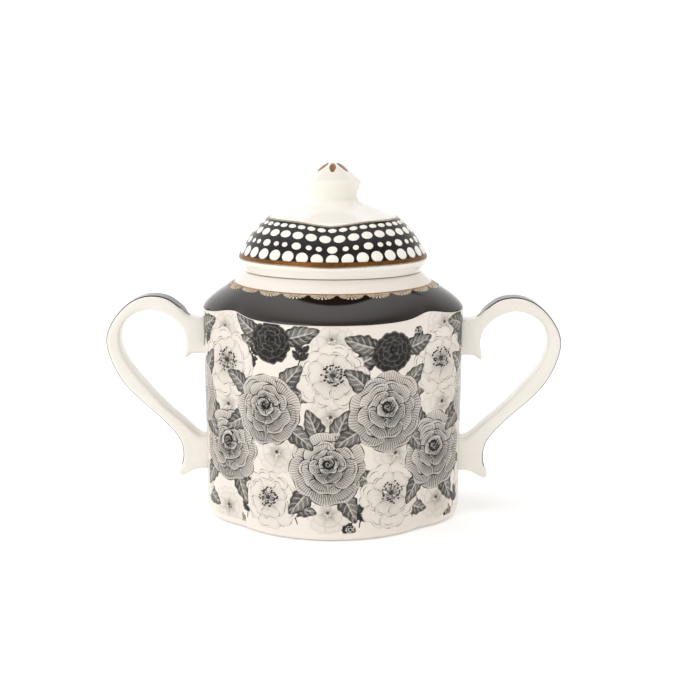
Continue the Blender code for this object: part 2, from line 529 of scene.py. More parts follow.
def smooth_step(share: np.ndarray) -> np.ndarray:
    """0 below 0, 1 above 1, and an S curve between."""
    share = np.clip(share, 0.0, 1.0)
    return share * share * (3 - 2 * share)


# ---------------------------------------------------------------------------------------------------------
# The bowl's form


@dataclass(frozen=True)
class BowlForm:
    """The surfaces of the bowl, as functions of the angle round its axis."""

    wall_top_share: float = 0.994
    wall_low_share: float = 0.974
    foot_inner_share: float = 0.835
    foot_outer_share: float = 0.905
    foot_round: float = 0.0050
    foot_recess: float = 0.0018
    floor: float = 0.0046
    wall: float = 0.0030
    lobe_radius: float = 0.0255
    crease_blend: float = 0.0018
    crease_angle: float = math.radians(33)
    edge_height: float = 0.0773
    edge_rise: float = 0.0017
    edge_rise_spread: float = math.radians(10)
    edge_dip: float = 0.0007
    collar_foot_height: float = 0.0866
    collar_dip: float = 0.0006
    collar_foot_reach: float = 0.0361
    collar_foot_depth: float = 0.885
    collar_top_reach: float = 0.0323
    mouth_reach: float = 0.0295
    mouth_depth: float = 0.88
    shoulder_power: float = 0.68
    seat_height: float = field(default_factory=lambda: BOWL_HIGH.z)
    lobe_reach: float = field(default_factory=lambda: BOWL_HIGH.x / 0.994)
    round_radius: float = field(default_factory=lambda: BOWL_HIGH.y / 0.994)

    def plan(self, angle: np.ndarray) -> np.ndarray:
        """Distance from the axis to the lobed plan at each angle from +X."""
        centre = self.lobe_reach - self.lobe_radius
        across = centre * np.sin(angle)
        inside = np.maximum(self.lobe_radius**2 - across**2, 0.0)
        lobe = np.where(inside > 0, centre * np.abs(np.cos(angle)) + np.sqrt(inside), 0.0)
        near = np.maximum(self.crease_blend - np.abs(lobe - self.round_radius), 0.0) / self.crease_blend
        return np.maximum(lobe, self.round_radius) + near * near * self.crease_blend / 4

    @staticmethod
    def oval(angle: np.ndarray, reach: float, depth: float) -> np.ndarray:
        """Distance from the axis to an ellipse of half length reach along X."""
        return reach * depth / np.sqrt((depth * np.cos(angle)) ** 2 + np.sin(angle) ** 2)

    @staticmethod
    def from_side(angle: np.ndarray) -> np.ndarray:
        """The angle from the nearer end of the X axis, 0 to a quarter turn."""
        turned = np.abs(angle) % math.pi
        return np.minimum(turned, math.pi - turned)

    def edge(self, angle: np.ndarray) -> np.ndarray:
        """Height of the edge between the wall and the shoulder."""
        side = self.from_side(angle)
        rise = self.edge_rise * np.exp(-(((side - self.crease_angle) / self.edge_rise_spread) ** 2))
        dip = self.edge_dip * smooth_step((side - self.crease_angle) / math.radians(40))
        return self.edge_height + rise - dip

    def wall_share(self, height: np.ndarray) -> np.ndarray:
        """The wall's share of the plan's radius at a height, the round at the foot included."""
        turn = np.arccos(np.clip(1 - height / self.foot_round, 0.0, 1.0))
        foot = self.foot_outer_share + (self.wall_low_share - self.foot_outer_share) * np.sin(turn)
        up = np.clip((height - self.foot_round) / (self.edge_height - self.foot_round), 0.0, 1.0)
        wall = self.wall_low_share + (self.wall_top_share - self.wall_low_share) * up
        return np.where(height < self.foot_round, foot, wall)

    def at_share(self, share: float, height: float, inward: float = 0.0) -> Ring:
        """A flat ring at a share of the plan, moved inward by a wall."""
        return lambda a: (self.plan(a) * share - inward, np.full_like(a, height))

    def on_wall(self, height: float, lift: float = 0.0) -> Ring:
        """A flat ring on the outside of the wall."""
        return lambda a: (self.plan(a) * self.wall_share(np.full_like(a, height)) + lift,
                          np.full_like(a, height))

    def under_edge(self, drop: float, lift: float = 0.0) -> Ring:
        """A ring on the wall that runs parallel to the edge, drop below it."""
        return lambda a: (self.plan(a) * self.wall_top_share + lift, self.edge(a) - drop)

    def on_oval(self, reach: float, height: float, depth: float) -> Ring:
        """A flat elliptical ring."""
        return lambda a: (self.oval(a, reach, depth), np.full_like(a, height))

    def on_shoulder(self, along: float, lift: float = 0.0, drop: float = 0.0) -> Ring:
        """A ring on the shoulder, from the wall's edge (along 0) to the collar's foot (along 1).

        Args:
            along: the share of the way up the shoulder.
            lift: how far the ring stands off the shoulder.
            drop: how far it is moved straight down.

        Returns:
            The ring.
        """
        upright = max(1.0 - along * 8, 0.0)

        def ring(angle: np.ndarray) -> tuple[np.ndarray, np.ndarray]:
            edge = self.plan(angle) * self.wall_top_share
            foot = self.oval(angle, self.collar_foot_reach, self.collar_foot_depth)
            low = self.edge(angle)
            front = smooth_step(self.from_side(angle) / COLLAR_DIP_FROM)
            high = self.collar_foot_height - self.collar_dip * front
            radius = edge + (foot - edge) * along + lift * (0.7 + 0.3 * upright)
            return radius, low + (high - low) * along**self.shoulder_power + lift * 0.7 * (1 - upright) - drop

        return ring

    def wall_arc(self) -> tuple[np.ndarray, np.ndarray]:
        """The unrolled wall.

        Returns:
            Angles round the axis from the front (-Y), and the length along the wall to each, in metres.
        """
        turn = np.linspace(-math.pi, math.pi, 14401)
        radius = self.plan(turn - QUARTER) * (self.wall_top_share + self.wall_low_share) / 2
        x, y = radius * np.sin(turn), -radius * np.cos(turn)
        length = np.concatenate([[0.0], np.cumsum(np.hypot(np.diff(x), np.diff(y)))])
        return turn, length - length[len(length) // 2]


FORM = BowlForm()


@dataclass
class Bowl:
    """The bowl casting with its fired-on shoulder colour and trims."""

    form: BowlForm = FORM
    shoulder_steps: Sequence[float] = (
        0.0, 0.002, 0.006, 0.012, 0.02, 0.03, 0.045, 0.065, 0.09, 0.12, 0.16, 0.21,
        0.27, 0.34, 0.42, 0.5, 0.58, 0.66, 0.74, 0.82, 0.9, 0.96, 1.0,
    )
    collar: Sequence[Point] = ((0.0361, 0.0866), (0.0352, 0.0874), (0.0341, 0.0884), (0.0332, 0.0893),
                               (0.0325, 0.0899), (0.0321, 0.0903))
    gold_line: float = 0.00050
    fan_count: int = 22
    fan_width: float = 0.0086
    fan_drop: float = 0.0023
    fan_slope: float = 0.0128  # length down the shoulder from its foot to its edge, as it runs by the collar
    floor_corner: float = 0.0055  # radius between the floor and the wall

    def outside(self) -> list[Ring]:
        """Rings from the recess under the foot to the seat."""
        form = self.form
        rings = [
            form.at_share(form.foot_inner_share - 0.045, form.foot_recess),
            form.at_share(form.foot_inner_share - 0.020, form.foot_recess * 0.9),
            form.at_share(form.foot_inner_share - 0.008, form.foot_recess * 0.35),
            form.at_share(form.foot_inner_share + 0.004, 0.0),
            form.at_share(form.foot_outer_share - 0.004, 0.0),
        ]
        for degrees in range(8, 91, 8):
            height = form.foot_round * (1 - math.cos(math.radians(degrees)))
            rings.append(form.on_wall(height))
        rings += [form.on_wall(height) for height in np.linspace(form.foot_round, WALL_RINGS_TOP, 10)]
        rings += [form.under_edge(drop) for drop in (0.0022, 0.0012, 0.0005)]
        rings += [form.on_shoulder(along) for along in self.shoulder_steps]
        rings += [self.collar_ring(reach, height) for reach, height in smooth_through(self.collar, 3)[1:]]
        rings += [
            form.on_oval(form.collar_top_reach - 0.0005, form.seat_height - 0.00008, form.mouth_depth),
            form.on_oval(form.collar_top_reach - 0.0010, form.seat_height, form.mouth_depth),
        ]
        return rings

    def collar_ring(self, reach: float, height: float) -> Ring:
        """A ring on the collar, whose foot dips with the shoulder and whose top is flat."""
        form = self.form
        up = (height - form.collar_foot_height) / (form.seat_height - form.collar_foot_height)

        def ring(angle: np.ndarray) -> tuple[np.ndarray, np.ndarray]:
            dip = form.collar_dip * smooth_step(form.from_side(angle) / COLLAR_DIP_FROM) * (1 - up)
            depth = form.collar_foot_depth + (form.mouth_depth - form.collar_foot_depth) * up
            return form.oval(angle, reach, depth), height - dip

        return ring

    def inside(self) -> list[Ring]:
        """Rings from the seat down to the floor."""
        form = self.form
        rings = [
            form.on_oval(form.mouth_reach + 0.0008, form.seat_height, form.mouth_depth),
            form.on_oval(form.mouth_reach + 0.0002, form.seat_height - 0.0003, form.mouth_depth),
            form.on_oval(form.mouth_reach, form.seat_height - 0.0009, form.mouth_depth),
            form.on_oval(form.mouth_reach, form.collar_foot_height - 0.0022, form.mouth_depth),
        ]

        def under(along: float, drop: float) -> Ring:
            outer = form.on_shoulder(along, drop=drop)
            return lambda a: (outer(a)[0] - form.wall, outer(a)[1])

        rings += [under(along, 0.0030) for along in (0.85, 0.7, 0.55, 0.4, 0.25, 0.12)]
        rings += [
            form.under_edge(0.0030, -form.wall),
            form.at_share(form.wall_top_share, form.edge_height - 0.0080, form.wall),
            form.at_share(form.wall_low_share, form.floor + 0.0100, form.wall),
            form.at_share(form.wall_low_share, form.floor + 0.0060, form.wall + 0.0002),
        ]
        for degrees in range(15, 91, 15):
            turn = math.radians(degrees)
            inward = form.wall + self.floor_corner * (1 - math.cos(turn))
            height = form.floor + self.floor_corner * (1 - math.sin(turn))
            rings.append(form.at_share(form.wall_low_share, height, inward))
        return rings

    def build_casting(self, glaze: Glaze) -> None:
        """Raises the white casting."""
        piece = tower("bowl_casting", self.outside() + self.inside())
        hand_over(piece, Body.BOWL, glaze.material(), ["bowl_body"])

    def build_foot(self, biscuit: Biscuit) -> None:
        """Lays the bare clay ring that the bowl stands on."""
        form = self.form
        inner, outer = form.foot_inner_share + 0.008, form.foot_outer_share - 0.006
        rings = [form.at_share(inner, 0.0002), form.at_share(inner, 0.0), form.at_share(outer, 0.0),
                 form.at_share(outer, 0.0002)]
        hand_over(tower("foot_ring_biscuit", rings, closed=True), Body.BOWL, biscuit.material())

    def build_shoulder(self, glaze: Glaze) -> None:
        """Lays the black glaze on the shoulder."""
        form = self.form
        rings = [form.under_edge(0.0, -GLAZE_SINK), form.under_edge(0.0, GLAZE_LIFT)]
        rings += [form.on_shoulder(along, GLAZE_LIFT) for along in self.shoulder_steps[1:]]
        rings += [form.on_shoulder(1.0, -GLAZE_SINK), form.on_shoulder(0.5, -GLAZE_SINK * 2)]
        hand_over(tower("shoulder_black", rings, closed=True), Body.BOWL, glaze.material())

    def build_gold_line(self, lustre: Lustre) -> None:
        """Lays the gold line round the foot of the collar."""
        form = self.form
        lift = GLAZE_LIFT * 2.2

        def on_collar(share: float, up: float) -> Ring:
            foot = form.on_shoulder(1.0)
            return lambda a: (foot(a)[0] - share, foot(a)[1] + up)

        width = self.gold_line
        rings = [
            form.on_shoulder(0.955, -GLAZE_SINK),
            form.on_shoulder(0.955, lift),
            form.on_shoulder(0.985, lift * 1.4),
            on_collar(-lift, lift),
            on_collar(width * 0.35 - lift, width * 0.5),
            on_collar(width * 0.7, width * 0.62),
            on_collar(width, -GLAZE_SINK),
        ]
        hand_over(tower("collar_gold_line", rings, closed=True), Body.BOWL, lustre.material())

    @staticmethod
    def fan_outline() -> list[np.ndarray]:
        """The outlines of one lace fan's parts, laid flat: across from -1 to 1, down from 0 to 1."""
        parts = []
        ribs = 9
        for i in range(ribs):
            middle = math.pi * (i + 0.5) / ribs
            spread = math.pi / ribs * 0.26
            near, far = 0.34, 0.93
            corners = [(middle - spread * 0.5, near), (middle - spread, far), (middle, far + 0.07),
                       (middle + spread, far), (middle + spread * 0.5, near)]
            parts.append(np.array([(math.cos(t) * r, math.sin(t) * r) for t, r in corners]))
        turns = np.linspace(0.0, math.pi, 17)
        ring = [(math.cos(t) * 0.26, math.sin(t) * 0.26) for t in turns]
        ring += [(math.cos(t) * 0.15, math.sin(t) * 0.15) for t in turns[::-1]]
        parts.append(np.array(ring))
        return parts

    def build_fans(self, enamel: Glaze) -> None:
        """Hangs the lace fans under the gold line."""
        form = self.form
        angles = np.linspace(0.0, 2 * math.pi, 7201)
        rim = form.on_shoulder(1.0)(angles)[0]
        x, y = rim * np.cos(angles), rim * np.sin(angles)
        length = np.concatenate([[0.0], np.cumsum(np.hypot(np.diff(x), np.diff(y)))])
        copies = []
        for outline in self.fan_outline():
            for i in range(self.fan_count):
                middle = length[-1] * (i + 0.25) / self.fan_count
                along_rim = middle + outline[:, 0] * self.fan_width / 2
                turn = np.interp(along_rim % length[-1], length, angles)
                down = 0.955 - outline[:, 1] * self.fan_drop / self.fan_slope
                places = []
                for angle, share in zip(turn, down):
                    radius, height = form.on_shoulder(float(share), GLAZE_LIFT * 2)(np.array([angle]))
                    x, y = radius[0] * math.cos(angle), radius[0] * math.sin(angle)
                    places.append(Vector((x, y, height[0])))
                copies.append(places)
        piece = plates("lace_fans", copies, 0.00009)
        hand_over(piece, Body.BOWL, enamel.material())

    def build(self, ware: Glaze, black: Glaze, gold: Lustre, lace: Glaze, biscuit: Biscuit) -> None:
        """Builds and dresses the bowl."""
        self.build_casting(ware)
        self.build_foot(biscuit)
        self.build_shoulder(black)
        self.build_gold_line(gold)
        self.build_fans(lace)


def plates(name: str, outlines: Iterable[Sequence[Vector]], thickness: float) -> bpy.types.Object:
    """Flat or gently bent plates, each thickened round its outline, which faces away from the Z axis.

    Args:
        name: the piece's name.
        outlines: each plate's corners in order.
        thickness: a third of each plate's thickness, which is spread evenly to both sides of its outline.

    Returns:
        The piece.
    """
    deselect_all()
    bpy.ops.mesh.primitive_circle_add(vertices=3, radius=0.001)
    piece = bpy.context.object
    piece.name = name
    bpy.ops.object.mode_set(mode="EDIT")
    bpy.ops.mesh.select_all(action="SELECT")
    bpy.ops.mesh.delete(type="VERT")
    mesh = bmesh.from_edit_mesh(piece.data)
    for outline in outlines:
        corners = [mesh.verts.new(place) for place in outline]
        face = mesh.faces.new(corners)
        face.normal_update()
        if face.normal.dot(face.calc_center_median()) < 0:
            face.normal_flip()
    bmesh.update_edit_mesh(piece.data)
    bpy.ops.object.mode_set(mode="OBJECT")
    shell = piece.modifiers.new("thickness", "SOLIDIFY")
    shell.thickness = thickness * 3
    shell.offset = 0.0
    pick(piece)
    bpy.ops.object.modifier_apply(modifier=shell.name)
    return settle(piece, 50.0)


@dataclass(frozen=True)
class Sheet:
    """A thin fired-on layer: a grid bent to a surface, its rim turned down into the glaze."""

    name: str
    place: Callable[[np.ndarray, np.ndarray, float], np.ndarray]
    across: int
    up: int
    lift: float = GLAZE_LIFT
    sunk_sides: tuple[bool, bool, bool, bool] = (True, True, True, True)  # left, right, bottom, top

    def build(self, swell: float = 0.0) -> bpy.types.Object:
        """Bends the grid.

        Args:
            swell: how much higher the middle stands than the rim, in metres.

        Returns:
            The sheet, its corners in the order that grid_shares gives.
        """
        deselect_all()
        bpy.ops.mesh.primitive_grid_add(x_subdivisions=self.across, y_subdivisions=self.up, size=2.0)
        piece = bpy.context.object
        piece.name = self.name
        u, v = grid_shares(piece)
        edge = 0.25 / max(self.across, self.up)
        left, right, bottom, top = self.sunk_sides
        sunk = (left & (u < edge)) | (right & (u > 1 - edge)) | (bottom & (v < edge)) | (top & (v > 1 - edge))
        crown = np.clip(1 - (2 * u - 1) ** 2, 0, 1) * np.clip(1 - (2 * v - 1) ** 2, 0, 1)
        lift = self.lift + swell * np.sqrt(crown)
        places = self.place(u, v, np.where(sunk, -GLAZE_SINK, lift))
        piece.data.vertices.foreach_set("co", places.astype(np.float32).ravel())
        piece.data.update()
        return piece


def grid_shares(piece: bpy.types.Object) -> tuple[np.ndarray, np.ndarray]:
    """Each corner's share of the way across and up a flat 2 m grid."""
    flat = np.empty(len(piece.data.vertices) * 3)
    piece.data.vertices.foreach_get("co", flat)
    flat = flat.reshape(-1, 3)
    return (flat[:, 0] + 1) / 2, (flat[:, 1] + 1) / 2


# ---------------------------------------------------------------------------------------------------------
# The printed wall


@dataclass(frozen=True)
class Wash:
    """How a drawn shape is shaded: darkest at its root, lighter away from it, and darker again at its rim."""

    light: float = 0.04
    deep: float = 0.6
    reach: float = 5.0  # mm from the root at which the shade has faded
    rim: float = 0.12
    rim_reach: float = 0.7  # mm in from the outline
    hatch: float = 0.3
    strokes: float = 46.0  # hatching strokes in a full turn about the root
    edge: float = 0.0  # how bright the rolled edge inside the outline is
    fall: float = 1.5  # how suddenly the shade ends at its reach

    def tone(self, x: np.ndarray, y: np.ndarray, depth: np.ndarray, root: Point) -> np.ndarray:
        """The ink's share at each place.

        Args:
            x: places across, in mm.
            y: places up, in mm.
            depth: how far inside the outline each place is, in mm.
            root: where the shade gathers.
        """
        away = np.hypot(x - root[0], y - root[1])
        turn = np.arctan2(y - root[1], x - root[0])
        bars = 0.5 + 0.3 * np.sin(turn * self.strokes + 1.7 * np.sin(away * 0.9))
        bars = bars + 0.2 * np.sin(turn * self.strokes * 2.3 + 1.0)
        fade = np.exp(-((away / (self.reach * (1.45 - 0.9 * bars))) ** self.fall))
        tone = (self.light + (self.deep - self.light) * fade) * (1 - self.hatch * bars)
        inside = np.maximum(depth, 0)
        lit = 1 - self.edge * np.exp(-((inside / 0.5) ** 2))
        return (tone + self.rim * np.exp(-inside / self.rim_reach)) * lit


class Plate:
    """An etched plate that is drawn back to front: every shape hides what lies under it."""

    def __init__(self, across: np.ndarray, up: np.ndarray, cell: float) -> None:
        """Takes a clean plate.

        Args:
            across: distance to the right of the front's middle at each point of the grid, in mm.
            up: height over the table at each point, in mm.
            cell: the grid's pitch, in mm.
        """
        self.across, self.up, self.cell = across, up, cell
        self.line = np.zeros_like(across)
        self.wash = np.zeros_like(across)
        self.columns = across.mean(axis=0)
        self.low, self.high = up.min(axis=1), up.max(axis=1)

    def _window(self, corners: np.ndarray, margin: float) -> tuple[slice, slice] | None:
        """The part of the grid round some corners, or None if they are off the plate."""
        left, bottom = corners.min(axis=0) - margin
        right, top = corners.max(axis=0) + margin
        columns = np.nonzero((self.columns >= left) & (self.columns <= right))[0]
        rows = np.nonzero((self.high >= bottom) & (self.low <= top))[0]
        if not len(columns) or not len(rows):
            return None
        return slice(rows[0], rows[-1] + 1), slice(columns[0], columns[-1] + 1)

    @staticmethod
    def _near(x: np.ndarray, y: np.ndarray, corners: np.ndarray, closed: bool,
              ) -> tuple[np.ndarray, np.ndarray, np.ndarray]:
        """Distance to a line of corners, the share of the way along it, and which places are inside it."""
        best = np.full(x.shape, 1e9)
        along = np.zeros(x.shape)
        inside = np.zeros(x.shape, bool)
        count = len(corners) if closed else len(corners) - 1
        for i in range(count):
            (x0, y0), (x1, y1) = corners[i], corners[(i + 1) % len(corners)]
            dx, dy = x1 - x0, y1 - y0
            share = np.clip(((x - x0) * dx + (y - y0) * dy) / max(dx * dx + dy * dy, 1e-9), 0, 1)
            gap = (x - x0 - share * dx) ** 2 + (y - y0 - share * dy) ** 2
            closer = gap < best
            best = np.where(closer, gap, best)
            along = np.where(closer, (i + share) / count, along)
            if closed and y0 != y1:
                crosses = ((y0 > y) != (y1 > y)) & (x < dx * (y - y0) / dy + x0)
                inside ^= crosses
        return np.sqrt(best), along, inside

    def shape(self, outline: Sequence[Point], root: Point, wash: Wash, line: float = 0.3,
              ink: float = 1.0) -> None:
        """Draws a closed shape over whatever is there.

        Args:
            outline: points that the outline passes through.
            root: where the shade gathers.
            wash: its shading.
            line: the outline's width, in mm.
            ink: how strong the outline is, up to 1.
        """
        corners = smooth_through(outline, 5, closed=True)
        window = self._window(corners, 1.2)
        if window is None:
            return
        x, y = self.across[window], self.up[window]
        gap, along, inside = self._near(x, y, corners, True)
        depth = np.where(inside, gap, -gap)
        cover = np.clip(0.5 + depth / self.cell, 0, 1)
        tone = wash.tone(x, y, depth, root)
        self.wash[window] = self.wash[window] * (1 - cover) + tone * cover
        swell = 0.45 + 0.6 * np.sin(along * 2 * math.pi * 3 + corners[0, 0]) ** 2
        border = np.clip(0.5 + (line * swell / 2 - gap) / self.cell * 0.6, 0, 1) * ink
        self.line[window] = np.maximum(self.line[window] * (1 - cover), border)

    def stroke(self, points: Sequence[Point], width: float, ink: float = 1.0, taper: float = 1.0) -> None:
        """Draws a line.

        Args:
            points: points that it passes through.
            width: its greatest width, in mm.
            ink: how strong it is, up to 1. Below 0 it scratches the ink away.
            taper: how much of the width is lost towards the ends.
        """
        corners = smooth_through(points, 4) if len(points) > 2 else np.asarray(points, float)
        window = self._window(corners, width + 0.4)
        if window is None:
            return
        x, y = self.across[window], self.up[window]
        gap, along, _ = self._near(x, y, corners, False)
        local = width * (1 - taper * (2 * along - 1) ** 2 * 0.8)
        mark = np.clip(0.5 + (local / 2 - gap) / self.cell * 0.6, 0, 1)
        if ink >= 0:
            self.line[window] = np.maximum(self.line[window], mark * ink)
        else:
            clear = np.clip(mark * -ink, 0, 1)
            self.line[window] *= 1 - clear
            self.wash[window] *= 1 - clear


FOLD = Wash(0.42, 0.96, 3.6, 0.26, 0.8, 0.5, edge=0.75)
LEAF = Wash(0.52, 0.84, 6.0, 0.26, 0.7, 0.42, 60.0)
SHADY = Wash(0.66, 0.92, 6.0, 0.2, 0.7, 0.34, 80.0)

LIGHT_FROM = 2.2  # the way the drawn light comes from, in radians from the right


@dataclass(frozen=True)
class PetalRing:
    """One ring of a flower's petals. Its reaches are shares of the flower's radius."""

    count: int
    inner: float
    outer: float
    wash: Wash
    line: float = 0.32  # the outline's width, in mm
    spread: float = 1.25  # a petal's width over the room it has in the ring
    veins: int = 5


@dataclass(frozen=True)
class Flower:
    """A round flower laid out by rule: rings of petals, widest first, round a heart."""

    rings: Sequence[PetalRing]
    stamens: int = 0
    heart: float = 0.8  # width of the heart's spiral line, in mm
    ink: float = 1.0
    tilt: float = 0.9  # height over width

    def draw(self, plate: Plate, chance: random.Random, centre: Point, radius: float) -> None:
        """Draws the flower.

        Args:
            plate: what it is drawn on.
            chance: what varies its petals.
            centre: its middle, in mm.
            radius: its radius, in mm.
        """
        turn = chance.uniform(0, 2 * math.pi)
        for number, ring in enumerate(self.rings):
            middle = (centre[0], centre[1] + 0.035 * radius * number)
            for petal in range(ring.count):
                pitch = 2 * math.pi / ring.count
                angle = turn + 1.1 * number + pitch * (petal + chance.uniform(-0.12, 0.12))
                self.petal(plate, chance, middle, radius, ring, angle)
        top = (centre[0], centre[1] + 0.035 * radius * len(self.rings))
        if self.stamens:
            self.draw_stamens(plate, chance, top, radius)
        else:
            curl = [self.spot(top, radius * (0.02 + 0.018 * i), turn + 0.75 * i) for i in range(11)]
            plate.stroke(curl, self.heart, self.ink, 0.6)

    def spot(self, middle: Point, reach: float, angle: float) -> Point:
        """A place at a distance and an angle from the flower's middle."""
        return middle[0] + reach * math.cos(angle), middle[1] + reach * self.tilt * math.sin(angle)

    def petal(self, plate: Plate, chance: random.Random, middle: Point, radius: float, ring: PetalRing,
              angle: float) -> None:
        """Draws one petal with its notch, veins and rolled edge."""
        half = math.pi / ring.count * ring.spread
        inner, outer = ring.inner * radius, ring.outer * radius * chance.uniform(0.94, 1.05)
        notch, lean = chance.uniform(0.88, 1.0), chance.uniform(-0.2, 0.2)

        def at(side: float, reach: float) -> Point:
            return self.spot(middle, inner + (outer - inner) * reach, angle + half * (side + lean * reach))

        away_from_light = 0.5 - 0.5 * math.cos(angle - LIGHT_FROM)
        wash = replace(ring.wash, light=ring.wash.light + 0.07 * away_from_light * ring.wash.deep,
                       reach=ring.wash.reach * radius * (0.9 + 0.2 * away_from_light))
        sides = ((-0.3, 0.0), (-0.86, 0.4), (-1.0, 0.74), (-0.74, 0.96), (-0.34, 1.03), (0.0, notch),
                 (0.36, 1.03), (0.76, 0.94), (1.0, 0.7), (0.84, 0.38), (0.3, 0.0))
        plate.shape([at(*side) for side in sides], middle, wash, ring.line, self.ink)
        for vein in range(ring.veins):
            side = -0.7 + 1.4 * (vein + 0.5) / ring.veins
            low, high = chance.uniform(0.1, 0.3), chance.uniform(0.45, 0.82)
            run = [at(side * 0.6, low), at(side * 0.8, (low + high) / 2), at(side, high)]
            plate.stroke(run, 0.26, self.ink * 0.85)
        start = chance.choice((-0.8, -0.1))
        plate.stroke([at(start, 0.8), at(start + 0.4, 0.9), at(start + 0.9, 0.84)], 0.32, self.ink)

    def draw_stamens(self, plate: Plate, chance: random.Random, middle: Point, radius: float) -> None:
        """Draws a seeded middle with a crown of stamens."""
        disc = [self.spot(middle, radius * 0.12, k * math.pi / 4) for k in range(8)]
        for stamen in range(self.stamens):
            angle = 2.4 * stamen
            reach = radius * chance.uniform(0.2, 0.36)
            tip = self.spot(middle, reach, angle)
            plate.stroke([self.spot(middle, radius * 0.1, angle), tip], 0.26, self.ink)
            plate.stroke([tip, (tip[0] + 0.3, tip[1] + 0.1)], 0.75, self.ink, 0.2)
        plate.shape(disc, middle, FOLD, 0.4, self.ink)


@dataclass(frozen=True)
class Leaf:
    """A pointed oval leaf: one half in shade, its ribs left light."""

    length: float  # mm
    width: float = 0.5  # share of the length
    ribs: int = 5

    def draw(self, plate: Plate, chance: random.Random, base: Point, turn: float) -> None:
        """Draws the leaf.

        Args:
            plate: what it is drawn on.
            chance: what bends it.
            base: where it starts, in mm.
            turn: the way it points, in radians from the right.
        """
        bend = chance.uniform(-0.3, 0.3)
        c, s = math.cos(turn), math.sin(turn)

        def at(along: float, side: float) -> Point:
            half = self.width / 2 * max(math.sin(math.pi * along**0.85), 0.0) ** 0.85
            x, y = self.length * along, self.length * (side * half + bend * along * (1 - along))
            return base[0] + x * c - y * s, base[1] + x * s + y * c

        shares = [i / 9 for i in range(10)]
        upper = [at(share, 1.0 + 0.08 * (-1) ** i) for i, share in enumerate(shares)]
        lower = [at(share, -1.0 - 0.08 * (-1) ** i) for i, share in enumerate(shares)][-2:0:-1]
        middle = [at(share, 0.0) for share in shares]
        plate.shape(upper + lower, base, LEAF, 0.45)
        plate.shape(middle + lower, base, SHADY, 0.2)
        if self.ribs:
            plate.stroke(middle[:-1], 0.45, -0.9)
        for rib in range(self.ribs):
            along = (rib + 0.7) / (self.ribs + 1)
            for side in (-0.82, 0.82):
                rib_line = [at(along, 0.0), at(along + 0.07, side * 0.5), at(along + 0.16, side)]
                plate.stroke(rib_line, 0.3, -0.75)


@dataclass(frozen=True)
class Sprig:
    """A bent stem with small leaves on both sides and a bud at its tip."""

    length: float  # mm
    pairs: int = 3

    def draw(self, plate: Plate, chance: random.Random, base: Point, turn: float) -> None:
        """Draws the sprig from its base, the way turn points."""
        bend = chance.choice((-0.5, 0.5))
        stem = [base]
        for node in range(self.pairs + 1):
            way = turn + bend * node / self.pairs
            step = self.length / (self.pairs + 1)
            stem.append((stem[-1][0] + step * math.cos(way), stem[-1][1] + step * math.sin(way)))
        plate.stroke(stem, 0.55, 1.0, 0.5)
        for node in range(1, self.pairs + 1):
            way = turn + bend * node / self.pairs
            for side in (-1, 1):
                Leaf(4.6 - 0.5 * node, 0.55, 0).draw(plate, chance, stem[node], way + side * 0.85)
        for side in (-0.5, 0.5):
            Leaf(3.4, 0.4, 0).draw(plate, chance, stem[-2], turn + bend + side)
        BUD.draw(plate, chance, stem[-1], 2.0)


ROSE = Flower((
    PetalRing(5, 0.25, 1.0, Wash(0.0, 0.9, 0.76, 0.12, 0.6, 0.3, 85.0, 0.7, 2.6), 0.36, 1.3, 6),
    PetalRing(5, 0.15, 0.72, Wash(0.0, 1.0, 0.53, 0.14, 0.6, 0.3, 70.0, 0.8, 2.6), 0.42, 1.3, 5),
    PetalRing(4, 0.08, 0.48, Wash(0.02, 1.0, 0.36, 0.16, 0.6, 0.3, 50.0, 0.8, 2.6), 0.46, 1.35, 4),
    PetalRing(3, 0.02, 0.28, Wash(0.02, 1.0, 0.18, 0.2, 0.5, 0.3, edge=0.8, fall=3.0), 0.46, 1.35, 2),
))
OPEN_FLOWER = Flower((
    PetalRing(7, 0.2, 1.0, Wash(0.0, 0.3, 0.3, 0.08, 0.6, 0.4), 0.3, 1.2, 6),
    PetalRing(6, 0.12, 0.7, Wash(0.0, 0.42, 0.25, 0.1, 0.6, 0.4), 0.3, 1.25, 5),
), stamens=30, ink=0.85)
DARK_FLOWER = Flower((
    PetalRing(7, 0.25, 1.0, Wash(0.84, 0.97, 0.6, 0.0, hatch=0.08, edge=0.28), 0.3, 1.3, 4),
    PetalRing(6, 0.18, 0.78, Wash(0.82, 0.98, 0.5, 0.0, hatch=0.08, edge=0.3), 0.3, 1.3, 3),
    PetalRing(5, 0.1, 0.54, Wash(0.82, 0.98, 0.4, 0.0, hatch=0.08, edge=0.34), 0.3, 1.3, 2),
    PetalRing(3, 0.02, 0.3, Wash(0.84, 1.0, 0.3, 0.0, hatch=0.08, edge=0.36), 0.3, 1.3, 0),
))
BUD = Flower((
    PetalRing(4, 0.1, 1.0, Wash(0.06, 0.9, 0.4, 0.3, 0.5, 0.3, edge=0.6), 0.36, 1.3, 0),
    PetalRing(3, 0.02, 0.6, Wash(0.1, 0.9, 0.3, 0.3, 0.5, 0.3, edge=0.6), 0.36, 1.3, 0),
), heart=0.4)


@dataclass(frozen=True)
class Bloom:
    """A flower's place in the panel and the leaves that stand out from under it."""

    flower: Flower
    across: float  # share of the repeat
    up: float  # mm
    radius: float  # mm
    leaves: Sequence[float] = ()  # the ways the leaves point, in degrees from the right
    leaf: float = 13.0  # mm


